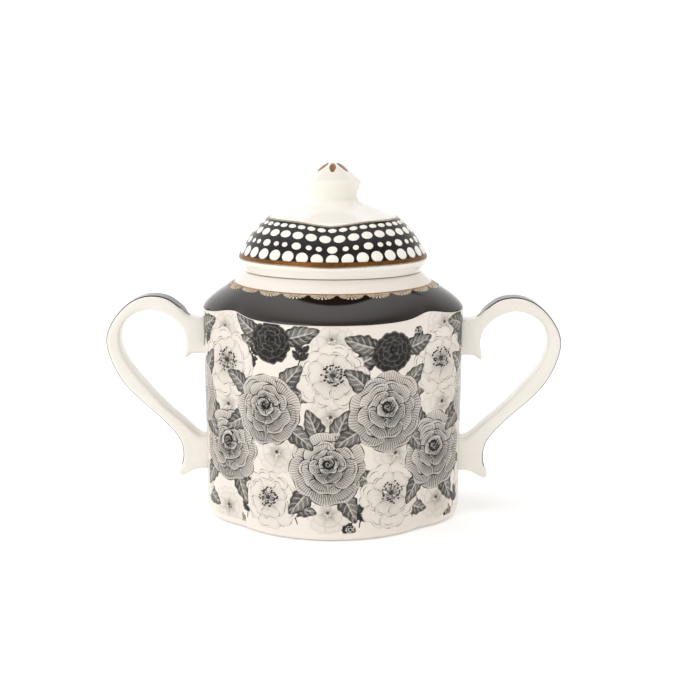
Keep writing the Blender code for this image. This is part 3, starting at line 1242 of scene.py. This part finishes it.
FAINT_FLOWER = replace(OPEN_FLOWER, ink=0.45)
BLOOMS = (
    Bloom(FAINT_FLOWER, 0.04, 45.5, 9.0),
    Bloom(FAINT_FLOWER, 0.53, 29.5, 9.0),
    Bloom(FAINT_FLOWER, 0.03, 73.0, 8.0),
    Bloom(FAINT_FLOWER, 0.02, 9.0, 8.5),
    Bloom(OPEN_FLOWER, 0.0, 60.0, 13.2, (30, 205), 12.0),
    Bloom(OPEN_FLOWER, 0.5, 15.5, 12.6, (150, -20), 12.0),
    Bloom(DARK_FLOWER, 0.48, 68.5, 8.4, (15, 160), 14.0),
    Bloom(ROSE, 0.0, 28.0, 14.8, (60, 118, 236, 300), 14.0),
    Bloom(ROSE, 0.5, 45.0, 15.0, (-35, 40, 140, 215), 14.0),
)
SPRIGS = (  # share of the repeat, height in mm and the way it points in degrees
    (0.0, 12.0, -60.0), (0.24, 5.0, 80.0), (0.74, 6.0, 110.0), (0.27, 58.0, 75.0), (0.75, 62.0, 70.0),
)
REPEATS = 3  # repeats of the panel on each half of the wall
PRINT_SEED = 23
SHOWN_REPEATS = range(-2, 3)  # every repeat that reaches the front half of the wall
SPRIG_LENGTH = 11.0  # mm


def draw_print(plate: Plate, half: float) -> None:
    """Draws an all-over pattern of roses in a half drop, which closes on itself round the wall.

    Args:
        plate: what it is drawn on.
        half: length of the wall from the front's middle to a side, in mm.
    """
    chance = random.Random(PRINT_SEED)
    repeat = 2 * half / REPEATS
    edition = chance.getrandbits(30)
    for number in SHOWN_REPEATS:
        same = random.Random(edition + number % REPEATS)
        for across, up, turn in SPRIGS:
            Sprig(SPRIG_LENGTH).draw(plate, same, ((number + across) * repeat, up), math.radians(turn))
    for bloom in BLOOMS:
        for number in SHOWN_REPEATS:
            same = random.Random(edition + 17 * (number % REPEATS) + round(bloom.up))
            centre = ((number + bloom.across) * repeat + same.uniform(-2, 2), bloom.up + same.uniform(-2, 2))
            for way in bloom.leaves:
                angle = math.radians(way + same.uniform(-10, 10))
                start = bloom.radius * 0.55
                base = (centre[0] + start * math.cos(angle), centre[1] + start * math.sin(angle))
                Leaf(bloom.leaf).draw(plate, same, base, angle)
            bloom.flower.draw(plate, same, centre, bloom.radius * same.uniform(0.93, 1.04))


@dataclass
class WallPrint:
    """The flower print round the wall: one panel, laid once on the front and once on the back."""

    form: BowlForm = FORM
    across: int = 272
    up: int = 300
    foot_margin: float = 0.0026
    edge_margin: float = 0.0001

    def place(self, first: float, last: float) -> Callable[[np.ndarray, np.ndarray, float], np.ndarray]:
        """How one sheet bends round the wall.

        Args:
            first: the share of the front half's length, from -1 to 1, at the sheet's left side.
            last: the share at its right side.

        Returns:
            A function of the shares across and up the sheet and of its lift.
        """
        turn, length = self.form.wall_arc()
        half = float(np.interp(QUARTER, turn, length))

        def bend(u: np.ndarray, v: np.ndarray, lift: np.ndarray) -> np.ndarray:
            angle = np.interp((first + (last - first) * u) * half, length, turn) - QUARTER
            top = self.form.edge(angle) - self.edge_margin
            height = self.foot_margin + (top - self.foot_margin) * v
            near_top = smooth_step((height - WALL_RINGS_TOP) / (top - WALL_RINGS_TOP))
            share = self.form.wall_share(height) * (1 - near_top) + self.form.wall_top_share * near_top
            radius = self.form.plan(angle) * share + lift
            return np.stack([radius * np.cos(angle), radius * np.sin(angle), height], axis=1)

        return bend

    def sheet(self, name: str, first: float, last: float) -> bpy.types.Object:
        """Bends and prints one sheet.

        Args:
            name: the sheet's name.
            first: the share of the front half's length at its left side, from -1 to 1.
            last: the share at its right side.

        Returns:
            The sheet.
        """
        bend = self.place(first, last)
        sunk = (False, False, True, True)
        piece = Sheet(name, bend, self.across, self.up, GLAZE_LIFT, sunk).build()
        flat = np.empty(len(piece.data.vertices) * 3)
        piece.data.vertices.foreach_get("co", flat)
        flat = flat.reshape(-1, 3)
        turn, length = self.form.wall_arc()
        half = float(np.interp(QUARTER, turn, length))
        rows, columns = self.up + 1, self.across + 1
        across = np.tile(np.linspace(first, last, columns) * half / MM, (rows, 1))
        order = self.grid_order(flat, first, last)
        up = flat[order, 2].reshape(rows, columns) / MM
        plate = Plate(across, up, 0.25)
        draw_print(plate, half / MM)
        margin = np.clip((up - 2.9) / 0.3, 0, 1)
        ink = np.zeros((len(flat), 4), np.float32)
        ink[order, 0] = (plate.line * margin).ravel()
        ink[order, 1] = ((1 - (1 - np.clip(plate.wash, 0, 1)) ** 2.2) * margin).ravel()
        ink[:, 3] = 1.0
        layer = piece.data.attributes.new("print", "FLOAT_COLOR", "POINT")
        layer.data.foreach_set("color", ink.ravel())
        return settle(piece, 60.0)

    def grid_order(self, flat: np.ndarray, first: float, last: float) -> np.ndarray:
        """The corners' numbers row by row from the bottom, left to right, found from where they are."""
        angle = (np.arctan2(flat[:, 1], flat[:, 0]) + 2 * math.pi + QUARTER) % (2 * math.pi)
        angle = np.where(angle > math.pi * 1.5, angle - 2 * math.pi, angle)
        turn, length = self.form.wall_arc()
        half = float(np.interp(QUARTER, turn, length))
        share = (np.interp(angle, turn, length) / half - first) / (last - first)
        column = np.rint(share * self.across).astype(int)
        by_height = np.lexsort((flat[:, 2], column))
        return by_height.reshape(self.across + 1, self.up + 1).T.ravel()

    def build(self, glaze: PrintedGlaze) -> None:
        """Prints the front, and lays the same panel on the back."""
        finish = glaze.material()
        for side, first, last in (("left", -1.0, 0.0), ("right", 0.0, 1.0)):
            front = self.sheet(f"transfer_front_{side}", first, last)
            pick(front)
            bpy.ops.object.duplicate()
            back = bpy.context.object
            back.name = f"transfer_back_{side}"
            bpy.ops.transform.rotate(value=math.pi, orient_axis="Z", center_override=(0.0, 0.0, 0.0))
            settle(back, 60.0)
            for piece in (front, back):
                hand_over(piece, Body.BOWL, finish)


# ---------------------------------------------------------------------------------------------------------
# The handles


@dataclass
class Handle:
    """An ear handle: a white strap with soft edges, its outer face glazed black."""

    name: str
    side: int
    width: float = 0.0096
    edge: float = 0.0013
    outer: Sequence[Point] = (
        (0.0400, 0.0733), (0.0460, 0.0732), (0.0500, 0.0731), (0.0530, 0.0741), (0.0556, 0.0770),
        (0.0603, 0.0803), (0.0655, 0.0813), (0.0702, 0.0806), (0.0746, 0.0783), (0.0786, 0.0744),
        (0.0816, 0.0696), (0.0828, 0.0652), (0.0823, 0.0607), (0.0802, 0.0548), (0.0768, 0.0491),
        (0.0718, 0.0436), (0.0648, 0.0374), (0.0593, 0.0318), (0.0562, 0.0274), (0.0552, 0.0230),
        (0.0556, 0.0192), (0.0569, 0.0156),
    )
    spur: Sequence[Point] = ((0.0565, 0.0146), (0.0552, 0.0143))
    under: Sequence[Point] = ((0.0544, 0.0147), (0.0525, 0.0157), (0.0490, 0.0169), (0.0400, 0.0168))
    inner: Sequence[Point] = (
        (0.0400, 0.0299), (0.0472, 0.0291), (0.0503, 0.0302), (0.0547, 0.0343), (0.0602, 0.0390),
        (0.0655, 0.0444), (0.0709, 0.0506), (0.0752, 0.0562), (0.0776, 0.0618), (0.0779, 0.0668),
        (0.0762, 0.0713), (0.0722, 0.0747), (0.0676, 0.0761), (0.0636, 0.0757), (0.0598, 0.0741),
        (0.0566, 0.0716), (0.0545, 0.0686), (0.0537, 0.0650), (0.0539, 0.0620), (0.0543, 0.0592),
    )
    inner_spur: Sequence[Point] = (
        (0.0541, 0.0584), (0.0535, 0.0586), (0.0522, 0.0595), (0.0505, 0.0601), (0.0400, 0.0602),
    )
    black_start: float = 0.0738  # height of the black face's pointed start
    top_point: float = 0.006  # length over which the black face comes to a point at the top
    low_point: float = 0.004  # and at the lower spur

    def outline(self) -> np.ndarray:
        """The strap's whole outline in the XZ plane, anticlockwise or clockwise, closed."""
        runs = (self.outer, self.spur, self.under, self.inner, self.inner_spur)
        parts = [smooth_through(run, 5) if len(run) > 3 else np.asarray(run) for run in runs]
        return np.concatenate(parts)

    def insets(self, outline: np.ndarray) -> tuple[np.ndarray, np.ndarray]:
        """Inward directions at the outline's corners, and how far the soft edge may reach there."""
        ahead = np.roll(outline, -1, axis=0) - outline
        behind = outline - np.roll(outline, 1, axis=0)
        run = ahead / np.hypot(*ahead.T)[:, None] + behind / np.hypot(*behind.T)[:, None]
        run /= np.hypot(*run.T)[:, None]
        area = np.sum(outline[:, 0] * np.roll(outline[:, 1], -1) - np.roll(outline[:, 0], -1) * outline[:, 1])
        inward = np.stack([-run[:, 1], run[:, 0]], axis=1) * np.sign(area)
        length = np.concatenate([[0.0], np.cumsum(np.hypot(*ahead.T))])
        reach = np.full(len(outline), self.edge)
        tips = [self.outer[0], *self.spur, self.under[-1], self.inner[0], self.inner_spur[0],
                self.inner_spur[-1]]
        for tip in tips:
            at = length[np.argmin(np.hypot(*(outline - tip).T))]
            away = np.abs(length[:-1] - at)
            away = np.minimum(away, length[-1] - away)
            reach = np.minimum(reach, 0.0001 + 0.35 * away)
        return inward, reach

    def build_strap(self, glaze: Glaze) -> None:
        """Extrudes the outline across the strap through its soft edges."""
        outline = self.outline()
        inward, reach = self.insets(outline)
        steps = [math.radians(d) for d in (0, 18, 36, 54, 72, 90)]
        layers = [(-self.width / 2 + self.edge * (1 - math.cos(t)), 1 - math.sin(t)) for t in steps]
        layers += [(-y, share) for y, share in layers[::-1]]
        deselect_all()
        bpy.ops.mesh.primitive_circle_add(vertices=len(outline), radius=0.01)
        piece = bpy.context.object
        piece.name = f"handle_strap_{self.name}"
        bpy.ops.object.mode_set(mode="EDIT")
        bpy.ops.mesh.select_all(action="SELECT")
        bpy.ops.mesh.edge_face_add()
        for number, (y, share) in enumerate(layers):
            if number:
                bpy.ops.mesh.extrude_region_move()
            mesh = bmesh.from_edit_mesh(piece.data)
            mesh.verts.ensure_lookup_table()
            section = outline + inward * (reach * share)[:, None]
            for corner, (x, z) in zip(mesh.verts[-len(outline):], section):
                corner.co = (self.side * x, y, z)
            bmesh.update_edit_mesh(piece.data)
        face_outwards(piece)
        settle(piece, 30.0)
        hand_over(piece, Body.BOWL, glaze.material(), [f"handle_{self.name}"])

    def build_face(self, glaze: Glaze) -> None:
        """Lays the black glaze on the strap's outer face, from a point at the top to the lower spur."""
        curve = smooth_through(self.outer, 8)
        start = int(np.argmax((curve[:, 0] > 0.0515) & (curve[:, 1] > self.black_start - 0.0003)))
        curve = curve[start:]
        run = np.gradient(curve, axis=0)
        run /= np.hypot(*run.T)[:, None]
        outward = np.stack([-run[:, 1], run[:, 0]], axis=1)
        length = np.concatenate([[0.0], np.cumsum(np.hypot(*np.diff(curve, axis=0).T))])
        share = length / length[-1]
        flat = self.width / 2 - self.edge

        def bend(u: np.ndarray, v: np.ndarray, lift: np.ndarray) -> np.ndarray:
            x, z = np.interp(u, share, curve[:, 0]), np.interp(u, share, curve[:, 1])
            nx, nz = np.interp(u, share, outward[:, 0]), np.interp(u, share, outward[:, 1])
            point = np.minimum(smooth_step(u * length[-1] / self.top_point),
                               smooth_step((1 - u) * length[-1] / self.low_point)) ** 0.6
            across = (2 * v - 1) * (flat + self.edge * 0.86) * (0.02 + 0.98 * point)
            over = np.clip(np.abs(across) - flat, 0, self.edge)
            drop = self.edge - np.sqrt(self.edge**2 - over**2)
            rise = lift - drop
            return np.stack([self.side * (x + nx * rise), -across, z + nz * rise], axis=1)

        piece = Sheet(f"handle_black_{self.name}", bend, len(curve) - 1, 20, GLAZE_LIFT * 1.5).build()
        if self.side < 0:
            pick(piece)
            bpy.ops.object.mode_set(mode="EDIT")
            bpy.ops.mesh.select_all(action="SELECT")
            bpy.ops.mesh.flip_normals()
            bpy.ops.object.mode_set(mode="OBJECT")
        hand_over(settle(piece, 60.0), Body.BOWL, glaze.material())

    def build(self, ware: Glaze, black: Glaze) -> None:
        """Builds and dresses the handle."""
        self.build_strap(ware)
        self.build_face(black)


# ---------------------------------------------------------------------------------------------------------
# The lid


@dataclass(frozen=True)
class DotRow:
    """One row of raised dots: some sizes that repeat round the lid."""

    height: float
    dip: float
    repeats: int
    dots: Sequence[tuple[float, float, float]]  # place in the repeat from 0 to 1, width and height in metres
    phase: float = math.radians(1.5)


@dataclass
class Lid:
    """The lid casting with its black band, raised dots and lustre lines."""

    seat: float = BOWL_HIGH.z
    depth: float = 0.88
    flange_reach: float = 0.0295 - 0.0007
    flange_wall: float = 0.0026
    outside: Sequence[Point] = (
        (0.0320, 0.0909), (0.0326, 0.0922), (0.0336, 0.0936), (0.0339, 0.0945), (0.0338, 0.0958),
        (0.0332, 0.0976), (0.0321, 0.0996), (0.0301, 0.1031), (0.0270, 0.1068), (0.0243, 0.1093),
        (0.0232, 0.1100), (0.0190, 0.1119), (0.0148, 0.1136), (0.0110, 0.1149), (0.0086, 0.1157),
    )
    inside: Sequence[Point] = (
        (0.0264, 0.0915), (0.0288, 0.0955), (0.0285, 0.0982), (0.0268, 0.1018), (0.0236, 0.1054),
        (0.0190, 0.1085), (0.0120, 0.1114), (0.0050, 0.1126),
    )
    dip_spread: float = math.radians(23)
    dot_swell: float = 0.00030
    rows: Sequence[DotRow] = (
        DotRow(0.1086, 0.0014, 40, ((0.0, 0.0031, 0.0019),)),
        DotRow(0.1060, 0.0016, 33, ((0.5, 0.0043, 0.0032),)),
        DotRow(0.1026, 0.0016, 14, ((0.0, 0.0037, 0.0028), (0.36, 0.0023, 0.0019), (0.64, 0.0023, 0.0019))),
        DotRow(0.0988, 0.0012, 36, ((0.0, 0.0046, 0.0043),)),
    )

    def __post_init__(self) -> None:
        """Draws the smooth profile once."""
        self.profile = smooth_through(self.outside, 6)
        run = np.gradient(self.profile, axis=0)
        run /= np.hypot(*run.T)[:, None]
        self.outward = np.stack([run[:, 1], -run[:, 0]], axis=1)

    def dip(self, angle: np.ndarray) -> np.ndarray:
        """How much of a row's dip there is at each angle from +X: all of it at the front and the back."""
        away = np.abs((angle + QUARTER + math.pi / 2) % math.pi - math.pi / 2)
        return np.exp(-((away / self.dip_spread) ** 1.65))

    def ratio(self, reach: np.ndarray) -> np.ndarray:
        """Depth over width of the oval of a reach: the foot of the knob is round."""
        foot = self.outside[9][0]
        return self.depth + (1 - self.depth) * smooth_step((foot - reach) / (foot - self.outside[-1][0]))

    def ring(self, reach: float, height: float) -> Ring:
        """A flat ring on the outside."""
        ratio = float(self.ratio(np.array(reach)))
        return lambda a: (FORM.oval(a, reach, ratio), np.full_like(a, height))

    def point(self, angle: np.ndarray, height: np.ndarray, lift: np.ndarray) -> tuple[np.ndarray, np.ndarray]:
        """Radius and height of places on the outside, moved out by a lift."""
        levels = self.profile[:, 1]
        reach = np.interp(height, levels, self.profile[:, 0])
        out, up = (np.interp(height, levels, self.outward[:, i]) for i in (0, 1))
        return FORM.oval(angle, reach, self.ratio(reach)) + out * lift, height + up * lift

    def on_lid(self, height: float, dip: float, lift: float) -> Ring:
        """A ring on the outside that dips at the front and back.

        Args:
            height: its height away from the dips.
            dip: how far it dips.
            lift: how far it stands off the surface.

        Returns:
            The ring.
        """
        return lambda a: self.point(a, height - dip * self.dip(a), np.full_like(a, lift))

    def build_casting(self, glaze: Glaze) -> None:
        """Raises the white casting, flange and hollow included."""
        seat, bottom = self.seat, self.seat - 0.0062
        inner = self.flange_reach - self.flange_wall

        def flat(reach: float, height: float) -> Ring:
            return lambda a: (FORM.oval(a, reach, self.depth), np.full_like(a, height))

        rings = [flat(reach, height) for reach, height in smooth_through(self.inside, 3)[::-1]]
        outer = self.flange_reach
        rings += [flat(reach, height) for reach, height in (
            (inner, bottom + 0.0008), (inner + 0.0004, bottom + 0.0001), (inner + 0.0009, bottom),
            (outer - 0.0007, bottom), (outer - 0.0002, bottom + 0.0002), (outer, bottom + 0.0007),
            (outer, seat + 0.0001), (outer + 0.0003, seat + 0.0003), (0.0310, seat + 0.0003),
        )]
        rings += [self.ring(reach, height) for reach, height in self.profile]
        hand_over(tower("lid_casting", rings), Body.LID, glaze.material(), ["lid_shell"])

    def band(self, name: str, low: tuple[float, float], high: tuple[float, float], lift: float,
             steps: int) -> bpy.types.Object:
        """A closed band of colour on the lid's outside.

        Args:
            name: its name.
            low: height and dip of its lower edge.
            high: height and dip of its upper edge.
            lift: how far it stands off the surface.
            steps: rings between its edges.

        Returns:
            The band.
        """
        rings = [self.on_lid(low[0], low[1], -GLAZE_SINK)]
        for share in np.linspace(0, 1, steps):
            height, dip = (low[i] + (high[i] - low[i]) * float(share) for i in (0, 1))
            rings.append(self.on_lid(height, dip, lift))
        rings.append(self.on_lid(high[0], high[1], -GLAZE_SINK))
        return tower(name, rings, closed=True)

    def build_dots(self, row: DotRow, number: int, enamel: Glaze) -> None:
        """Raises one row of dots from a single dome, copied and bent to the lid."""
        angles = np.linspace(0.0, 2 * math.pi, 3601)
        heights = row.height - row.dip * self.dip(angles - QUARTER)
        radius, _ = self.point(angles - QUARTER, heights, np.zeros_like(angles))
        steps = np.hypot(np.diff(radius * np.cos(angles)), np.diff(radius * np.sin(angles)))
        length = np.concatenate([[0.0], np.cumsum(steps)])
        deselect_all()
        bpy.ops.mesh.primitive_uv_sphere_add(segments=14, ring_count=10, radius=1.0)
        dome = bpy.context.object
        bpy.ops.object.mode_set(mode="EDIT")
        bpy.ops.mesh.select_all(action="SELECT")
        bpy.ops.mesh.bisect(plane_co=(0, 0, -0.2), plane_no=(0, 0, 1), clear_inner=True)
        bpy.ops.object.mode_set(mode="OBJECT")
        unit = np.array([v.co for v in dome.data.vertices])
        levels = self.profile[:, 1]
        along = np.concatenate([[0.0], np.cumsum(np.hypot(*np.diff(self.profile, axis=0).T))])
        start = float(np.interp(row.phase, angles, length))
        copies = []
        for repeat in range(row.repeats):
            for place, width, tall in row.dots:
                middle = start + length[-1] * (repeat + place) / row.repeats
                turn = float(np.interp(middle % length[-1], length, angles)) - QUARTER
                height = row.height - row.dip * float(self.dip(np.array(turn)))
                pick(dome)
                bpy.ops.object.duplicate()
                copy = bpy.context.object
                local = float(np.interp(turn + QUARTER, angles, radius))
                angle = turn + unit[:, 0] * width / 2 / local
                rise = self.dip(angle) - self.dip(np.array(turn))
                down = np.interp(height, levels, along) + unit[:, 1] * tall / 2
                level = np.interp(down, along, levels) - row.dip * rise
                out, up = self.point(angle, level, unit[:, 2] * self.dot_swell)
                spots = np.stack([out * np.cos(angle), out * np.sin(angle), up], axis=1)
                copy.data.vertices.foreach_set("co", spots.astype(np.float32).ravel())
                copies.append(copy)
        bpy.data.objects.remove(dome)
        piece = settle(join(f"lid_dots_{number}", copies), 60.0)
        hand_over(piece, Body.LID, enamel.material())

    def build(self, ware: Glaze, black: Glaze, enamel: Glaze, brown: Lustre, dull: Lustre) -> None:
        """Builds and dresses the lid."""
        self.build_casting(ware)
        black_band = self.band("lid_black_band", (0.0962, 0.0), (0.1098, 0.0014), GLAZE_LIFT, 40)
        hand_over(black_band, Body.LID, black.material())
        for number, row in enumerate(self.rows, 1):
            self.build_dots(row, number, enamel)
        for name, low, high, lift, steps, finish in (
            ("lid_top_line", (0.1097, 0.0014), (0.1101, 0.0014), 0.00014, 5, dull),
            ("lid_brown_band", (0.0957, 0.0005), (0.0969, 0.0000), 0.00036, 8, brown),
            ("lid_rim_line", (0.0953, 0.0005), (0.0956, 0.0005), 0.00014, 3, dull),
        ):
            hand_over(self.band(name, low, high, lift, steps), Body.LID, finish.material())


# ---------------------------------------------------------------------------------------------------------
# The knob


@dataclass
class Knob:
    """The turned knob, with lustre petals on its cap."""

    top: float = KNOB_HIGH.z
    profile: Sequence[Point] = (
        (0.0114, 0.1147), (0.0101, 0.1154), (0.0093, 0.1161), (0.0089, 0.1170), (0.0090, 0.1189),
        (0.0096, 0.1207), (0.0101, 0.1220), (0.0102, 0.1228), (0.0098, 0.1236), (0.0080, 0.1250),
        (0.0060, 0.1266), (0.0040, 0.1281), (0.0020, 0.1292),
    )
    petals: int = 6
    petal_from: float = 0.0016
    petal_to: float = 0.0064
    petal_width: float = 0.0029

    def curve(self) -> np.ndarray:
        """The smooth profile from the lid to the tip."""
        return smooth_through([*self.profile, (0.0007, self.top - 0.00005)], 6)

    def build_casting(self, glaze: Glaze) -> None:
        """Turns the knob."""
        rings = []
        for radius, height in [(0.0100, 0.1136), *self.curve()]:
            rings.append(lambda a, r=radius, z=height: (np.full_like(a, r), np.full_like(a, z)))
        hand_over(tower("knob_casting", rings, 180), Body.LID, glaze.material(), ["lid_knob"])

    def build_petals(self, lustre: Lustre) -> None:
        """Lays the petals on the cap."""
        cap = self.curve()
        cap = cap[np.argmax(cap[:, 0]):][::-1]
        copies = []
        for number in range(self.petals):
            turn = -QUARTER + 2 * math.pi * number / self.petals

            def bend(u: np.ndarray, v: np.ndarray, lift: np.ndarray, turn: float = turn) -> np.ndarray:
                out = self.petal_from + (self.petal_to - self.petal_from) * v
                aside = (2 * u - 1) * self.petal_width / 2 * np.sin(math.pi * np.clip(v, 0, 1)) ** 0.6
                radius = np.hypot(out, aside)
                angle = turn + np.arctan2(aside, out)
                height = np.interp(radius, cap[:, 0], cap[:, 1])
                return np.stack([radius * np.cos(angle), radius * np.sin(angle), height + lift], axis=1)

            copies.append(Sheet("petal", bend, 6, 14, GLAZE_LIFT).build(0.00010))
        piece = settle(join("knob_petals", copies), 60.0)
        hand_over(piece, Body.LID, lustre.material())

    def build(self, ware: Glaze, lustre: Lustre) -> None:
        """Builds and dresses the knob."""
        self.build_casting(ware)
        self.build_petals(lustre)


# ---------------------------------------------------------------------------------------------------------
# Light and view


@dataclass(frozen=True)
class Studio:
    """A white light tent: bright behind, above and at the sides, dimmer in front."""

    behind: float = 1.14
    front: float = 0.56
    above: float = 1.85
    below: float = 0.70
    left: float = 0.28
    floor_reach: float = 9.0
    floor_level: float = -0.0002
    table_glow: float = 0.19
    panel: float = 0.03  # the dark panel overhead, which the black shoulder mirrors under the collar

    def build_world(self) -> None:
        """Wraps the white tent round the scene."""
        world = bpy.data.worlds.new("tent")
        bpy.context.scene.world = world
        world.use_nodes = True
        tree = world.node_tree
        add = tree.nodes.new

        def maths(operation: str, *values: object) -> bpy.types.NodeSocket:
            node = add("ShaderNodeMath")
            node.operation = operation
            for number, value in enumerate(values):
                if isinstance(value, bpy.types.NodeSocket):
                    tree.links.new(value, node.inputs[number])
                else:
                    node.inputs[number].default_value = value
            return node.outputs[0]

        def ramp(value: bpy.types.NodeSocket, start: float, end: float, first: float,
                 last: float) -> bpy.types.NodeSocket:
            node = add("ShaderNodeMapRange")
            node.interpolation_type = "SMOOTHSTEP"
            limits = {"From Min": start, "From Max": end, "To Min": first, "To Max": last}
            for key, limit in limits.items():
                node.inputs[key].default_value = limit
            tree.links.new(value, node.inputs["Value"])
            return node.outputs[0]

        parts = add("ShaderNodeSeparateXYZ")
        tree.links.new(add("ShaderNodeTexCoord").outputs["Generated"], parts.inputs[0])
        x, y, z = parts.outputs
        frontal = ramp(y, 0.55, -0.8, self.behind, self.front)
        lift = maths("MULTIPLY", ramp(z, 0.55, 1.0, 0.0, 1.0), maths("SUBTRACT", self.above, frontal))
        sideways = maths("MULTIPLY", maths("MULTIPLY", x, -1.0), self.left)
        total = maths("ADD", maths("ADD", frontal, lift), sideways)
        total = maths("MULTIPLY", total, ramp(z, -0.4, -0.8, 1.0, self.below))
        bow = maths("SUBTRACT", maths("MULTIPLY", maths("MULTIPLY", x, x), 1.6), 0.03)
        over = maths("MULTIPLY", maths("GREATER_THAN", z, 0.5), maths("GREATER_THAN", y, bow))
        dark = maths("MULTIPLY", maths("MULTIPLY", maths("LESS_THAN", y, 0.5), over), 1.0 - self.panel)
        total = maths("MULTIPLY", total, maths("SUBTRACT", 1.0, dark))
        background = tree.nodes["Background"]
        background.inputs["Color"].default_value = (1.0, 0.992, 0.98, 1.0)
        tree.links.new(total, background.inputs["Strength"])

    def softbox(self, name: str, place: Sequence[float], size: float, power: float) -> None:
        """Hangs a soft light that faces the bowl."""
        deselect_all()
        bpy.ops.object.light_add(type="AREA", location=place)
        lamp = bpy.context.object
        lamp.name = name
        lamp.data.size = size
        lamp.data.energy = power
        lamp.data.color = (1.0, 0.98, 0.95)
        lamp.rotation_euler = (Vector((0, 0, 0.07)) - Vector(place)).to_track_quat("-Z", "Y").to_euler()

    def build_floor(self) -> None:
        """Lays the pale table top under the bowl."""
        deselect_all()
        bpy.ops.mesh.primitive_circle_add(vertices=96, radius=self.floor_reach, fill_type="NGON",
                                          location=(0.0, 0.0, self.floor_level))
        table = bpy.context.object
        table.name = "table_top"
        nodes = Nodes("pale_table")
        nodes.shader.inputs["Specular IOR Level"].default_value = 0.1
        haze = nodes.spread(nodes.object_noise(3.0, 1.0), 0.0, 1.0)
        colour = nodes.blend(haze, rgba(252, 252, 252), rgba(250, 250, 249))
        nodes.tree.links.new(colour, nodes.shader.inputs["Base Color"])
        nodes.shader.inputs["Roughness"].default_value = 0.8
        nodes.shader.inputs["Emission Color"].default_value = (1.0, 1.0, 1.0, 1.0)
        nodes.shader.inputs["Emission Strength"].default_value = self.table_glow
        table.data.materials.append(nodes.material)

    def build_camera(self) -> None:
        """Stands the camera in front, a little above the lid."""
        aim = Vector((0.0, 0.0, 0.061))
        turn, pitch, distance = math.radians(2.0), math.radians(10.28), 0.5773
        away = Vector((math.sin(turn) * math.cos(pitch), -math.cos(turn) * math.cos(pitch), math.sin(pitch)))
        deselect_all()
        bpy.ops.object.camera_add(location=aim + away * distance)
        camera = bpy.context.object
        camera.name = "view"
        camera.rotation_euler = (-away).to_track_quat("-Z", "Y").to_euler()
        camera.data.lens = 80.9
        camera.data.sensor_width = 36.0
        camera.data.shift_x = 0.0243
        bpy.context.scene.camera = camera

    def build(self) -> None:
        """Sets up the light and the view."""
        self.build_world()
        self.build_floor()
        self.softbox("key", (-0.8, -0.9, 0.25), 0.9, 3.0)
        self.softbox("fill", (0.8, -0.9, 0.2), 0.8, 0.5)
        self.build_camera()
        bpy.context.scene.view_settings.view_transform = "Standard"


def main() -> None:
    """Builds the sugar bowl, piece by piece."""
    logging.basicConfig(level=logging.INFO, format="%(name)s: %(message)s")
    ware = Glaze("white_ware", WHITE_WARE, CREAM_WARE)
    black = Glaze("black", rgba(31, 20, 14), rgba(26, 16, 11), (0.05, 0.10), 0.00002)
    band = Glaze("lid_black", rgba(26, 20, 17), rgba(20, 15, 13), (0.05, 0.10), 0.00002, 1.36)
    handle_ware = Glaze("handle_white_ware", rgba(241, 237, 230), rgba(234, 228, 219))
    # The lid and knob get a lighter white than the bowl: painted light, standing for the brighter light that
    # falls from above on the dome and knob.
    lid_ware_painted_light = Glaze("lid_white_ware_painted_light", rgba(248, 244, 237), rgba(242, 236, 227))
    enamel = Glaze("raised_enamel", rgba(250, 246, 238), rgba(243, 237, 227), (0.12, 0.2))
    lace = Glaze("lace_enamel", rgba(228, 214, 196), rgba(208, 190, 166), (0.2, 0.3))
    ink = PrintedGlaze("printed_ware", WHITE_WARE, CREAM_WARE, ior=1.28)
    gold = Lustre("gold_line", rgba(172, 142, 108), rgba(140, 110, 78))
    brown = Lustre("brown_lustre", rgba(128, 82, 34), rgba(105, 64, 22), 0.7)
    dull = Lustre("dull_gold", rgba(180, 165, 145), rgba(150, 132, 112), 0.6)
    petal = Lustre("petal_lustre", rgba(170, 132, 98), rgba(140, 100, 66), 0.6)
    Bowl().build(ware, black, gold, lace, Biscuit("bare_clay"))
    WallPrint().build(ink)
    for name, side in (("left", -1), ("right", 1)):
        Handle(name, side).build(handle_ware, band)
    Lid().build(lid_ware_painted_light, band, enamel, brown, dull)
    Knob().build(lid_ware_painted_light, petal)
    Studio().build()


if __name__ == "__main__":
    main()
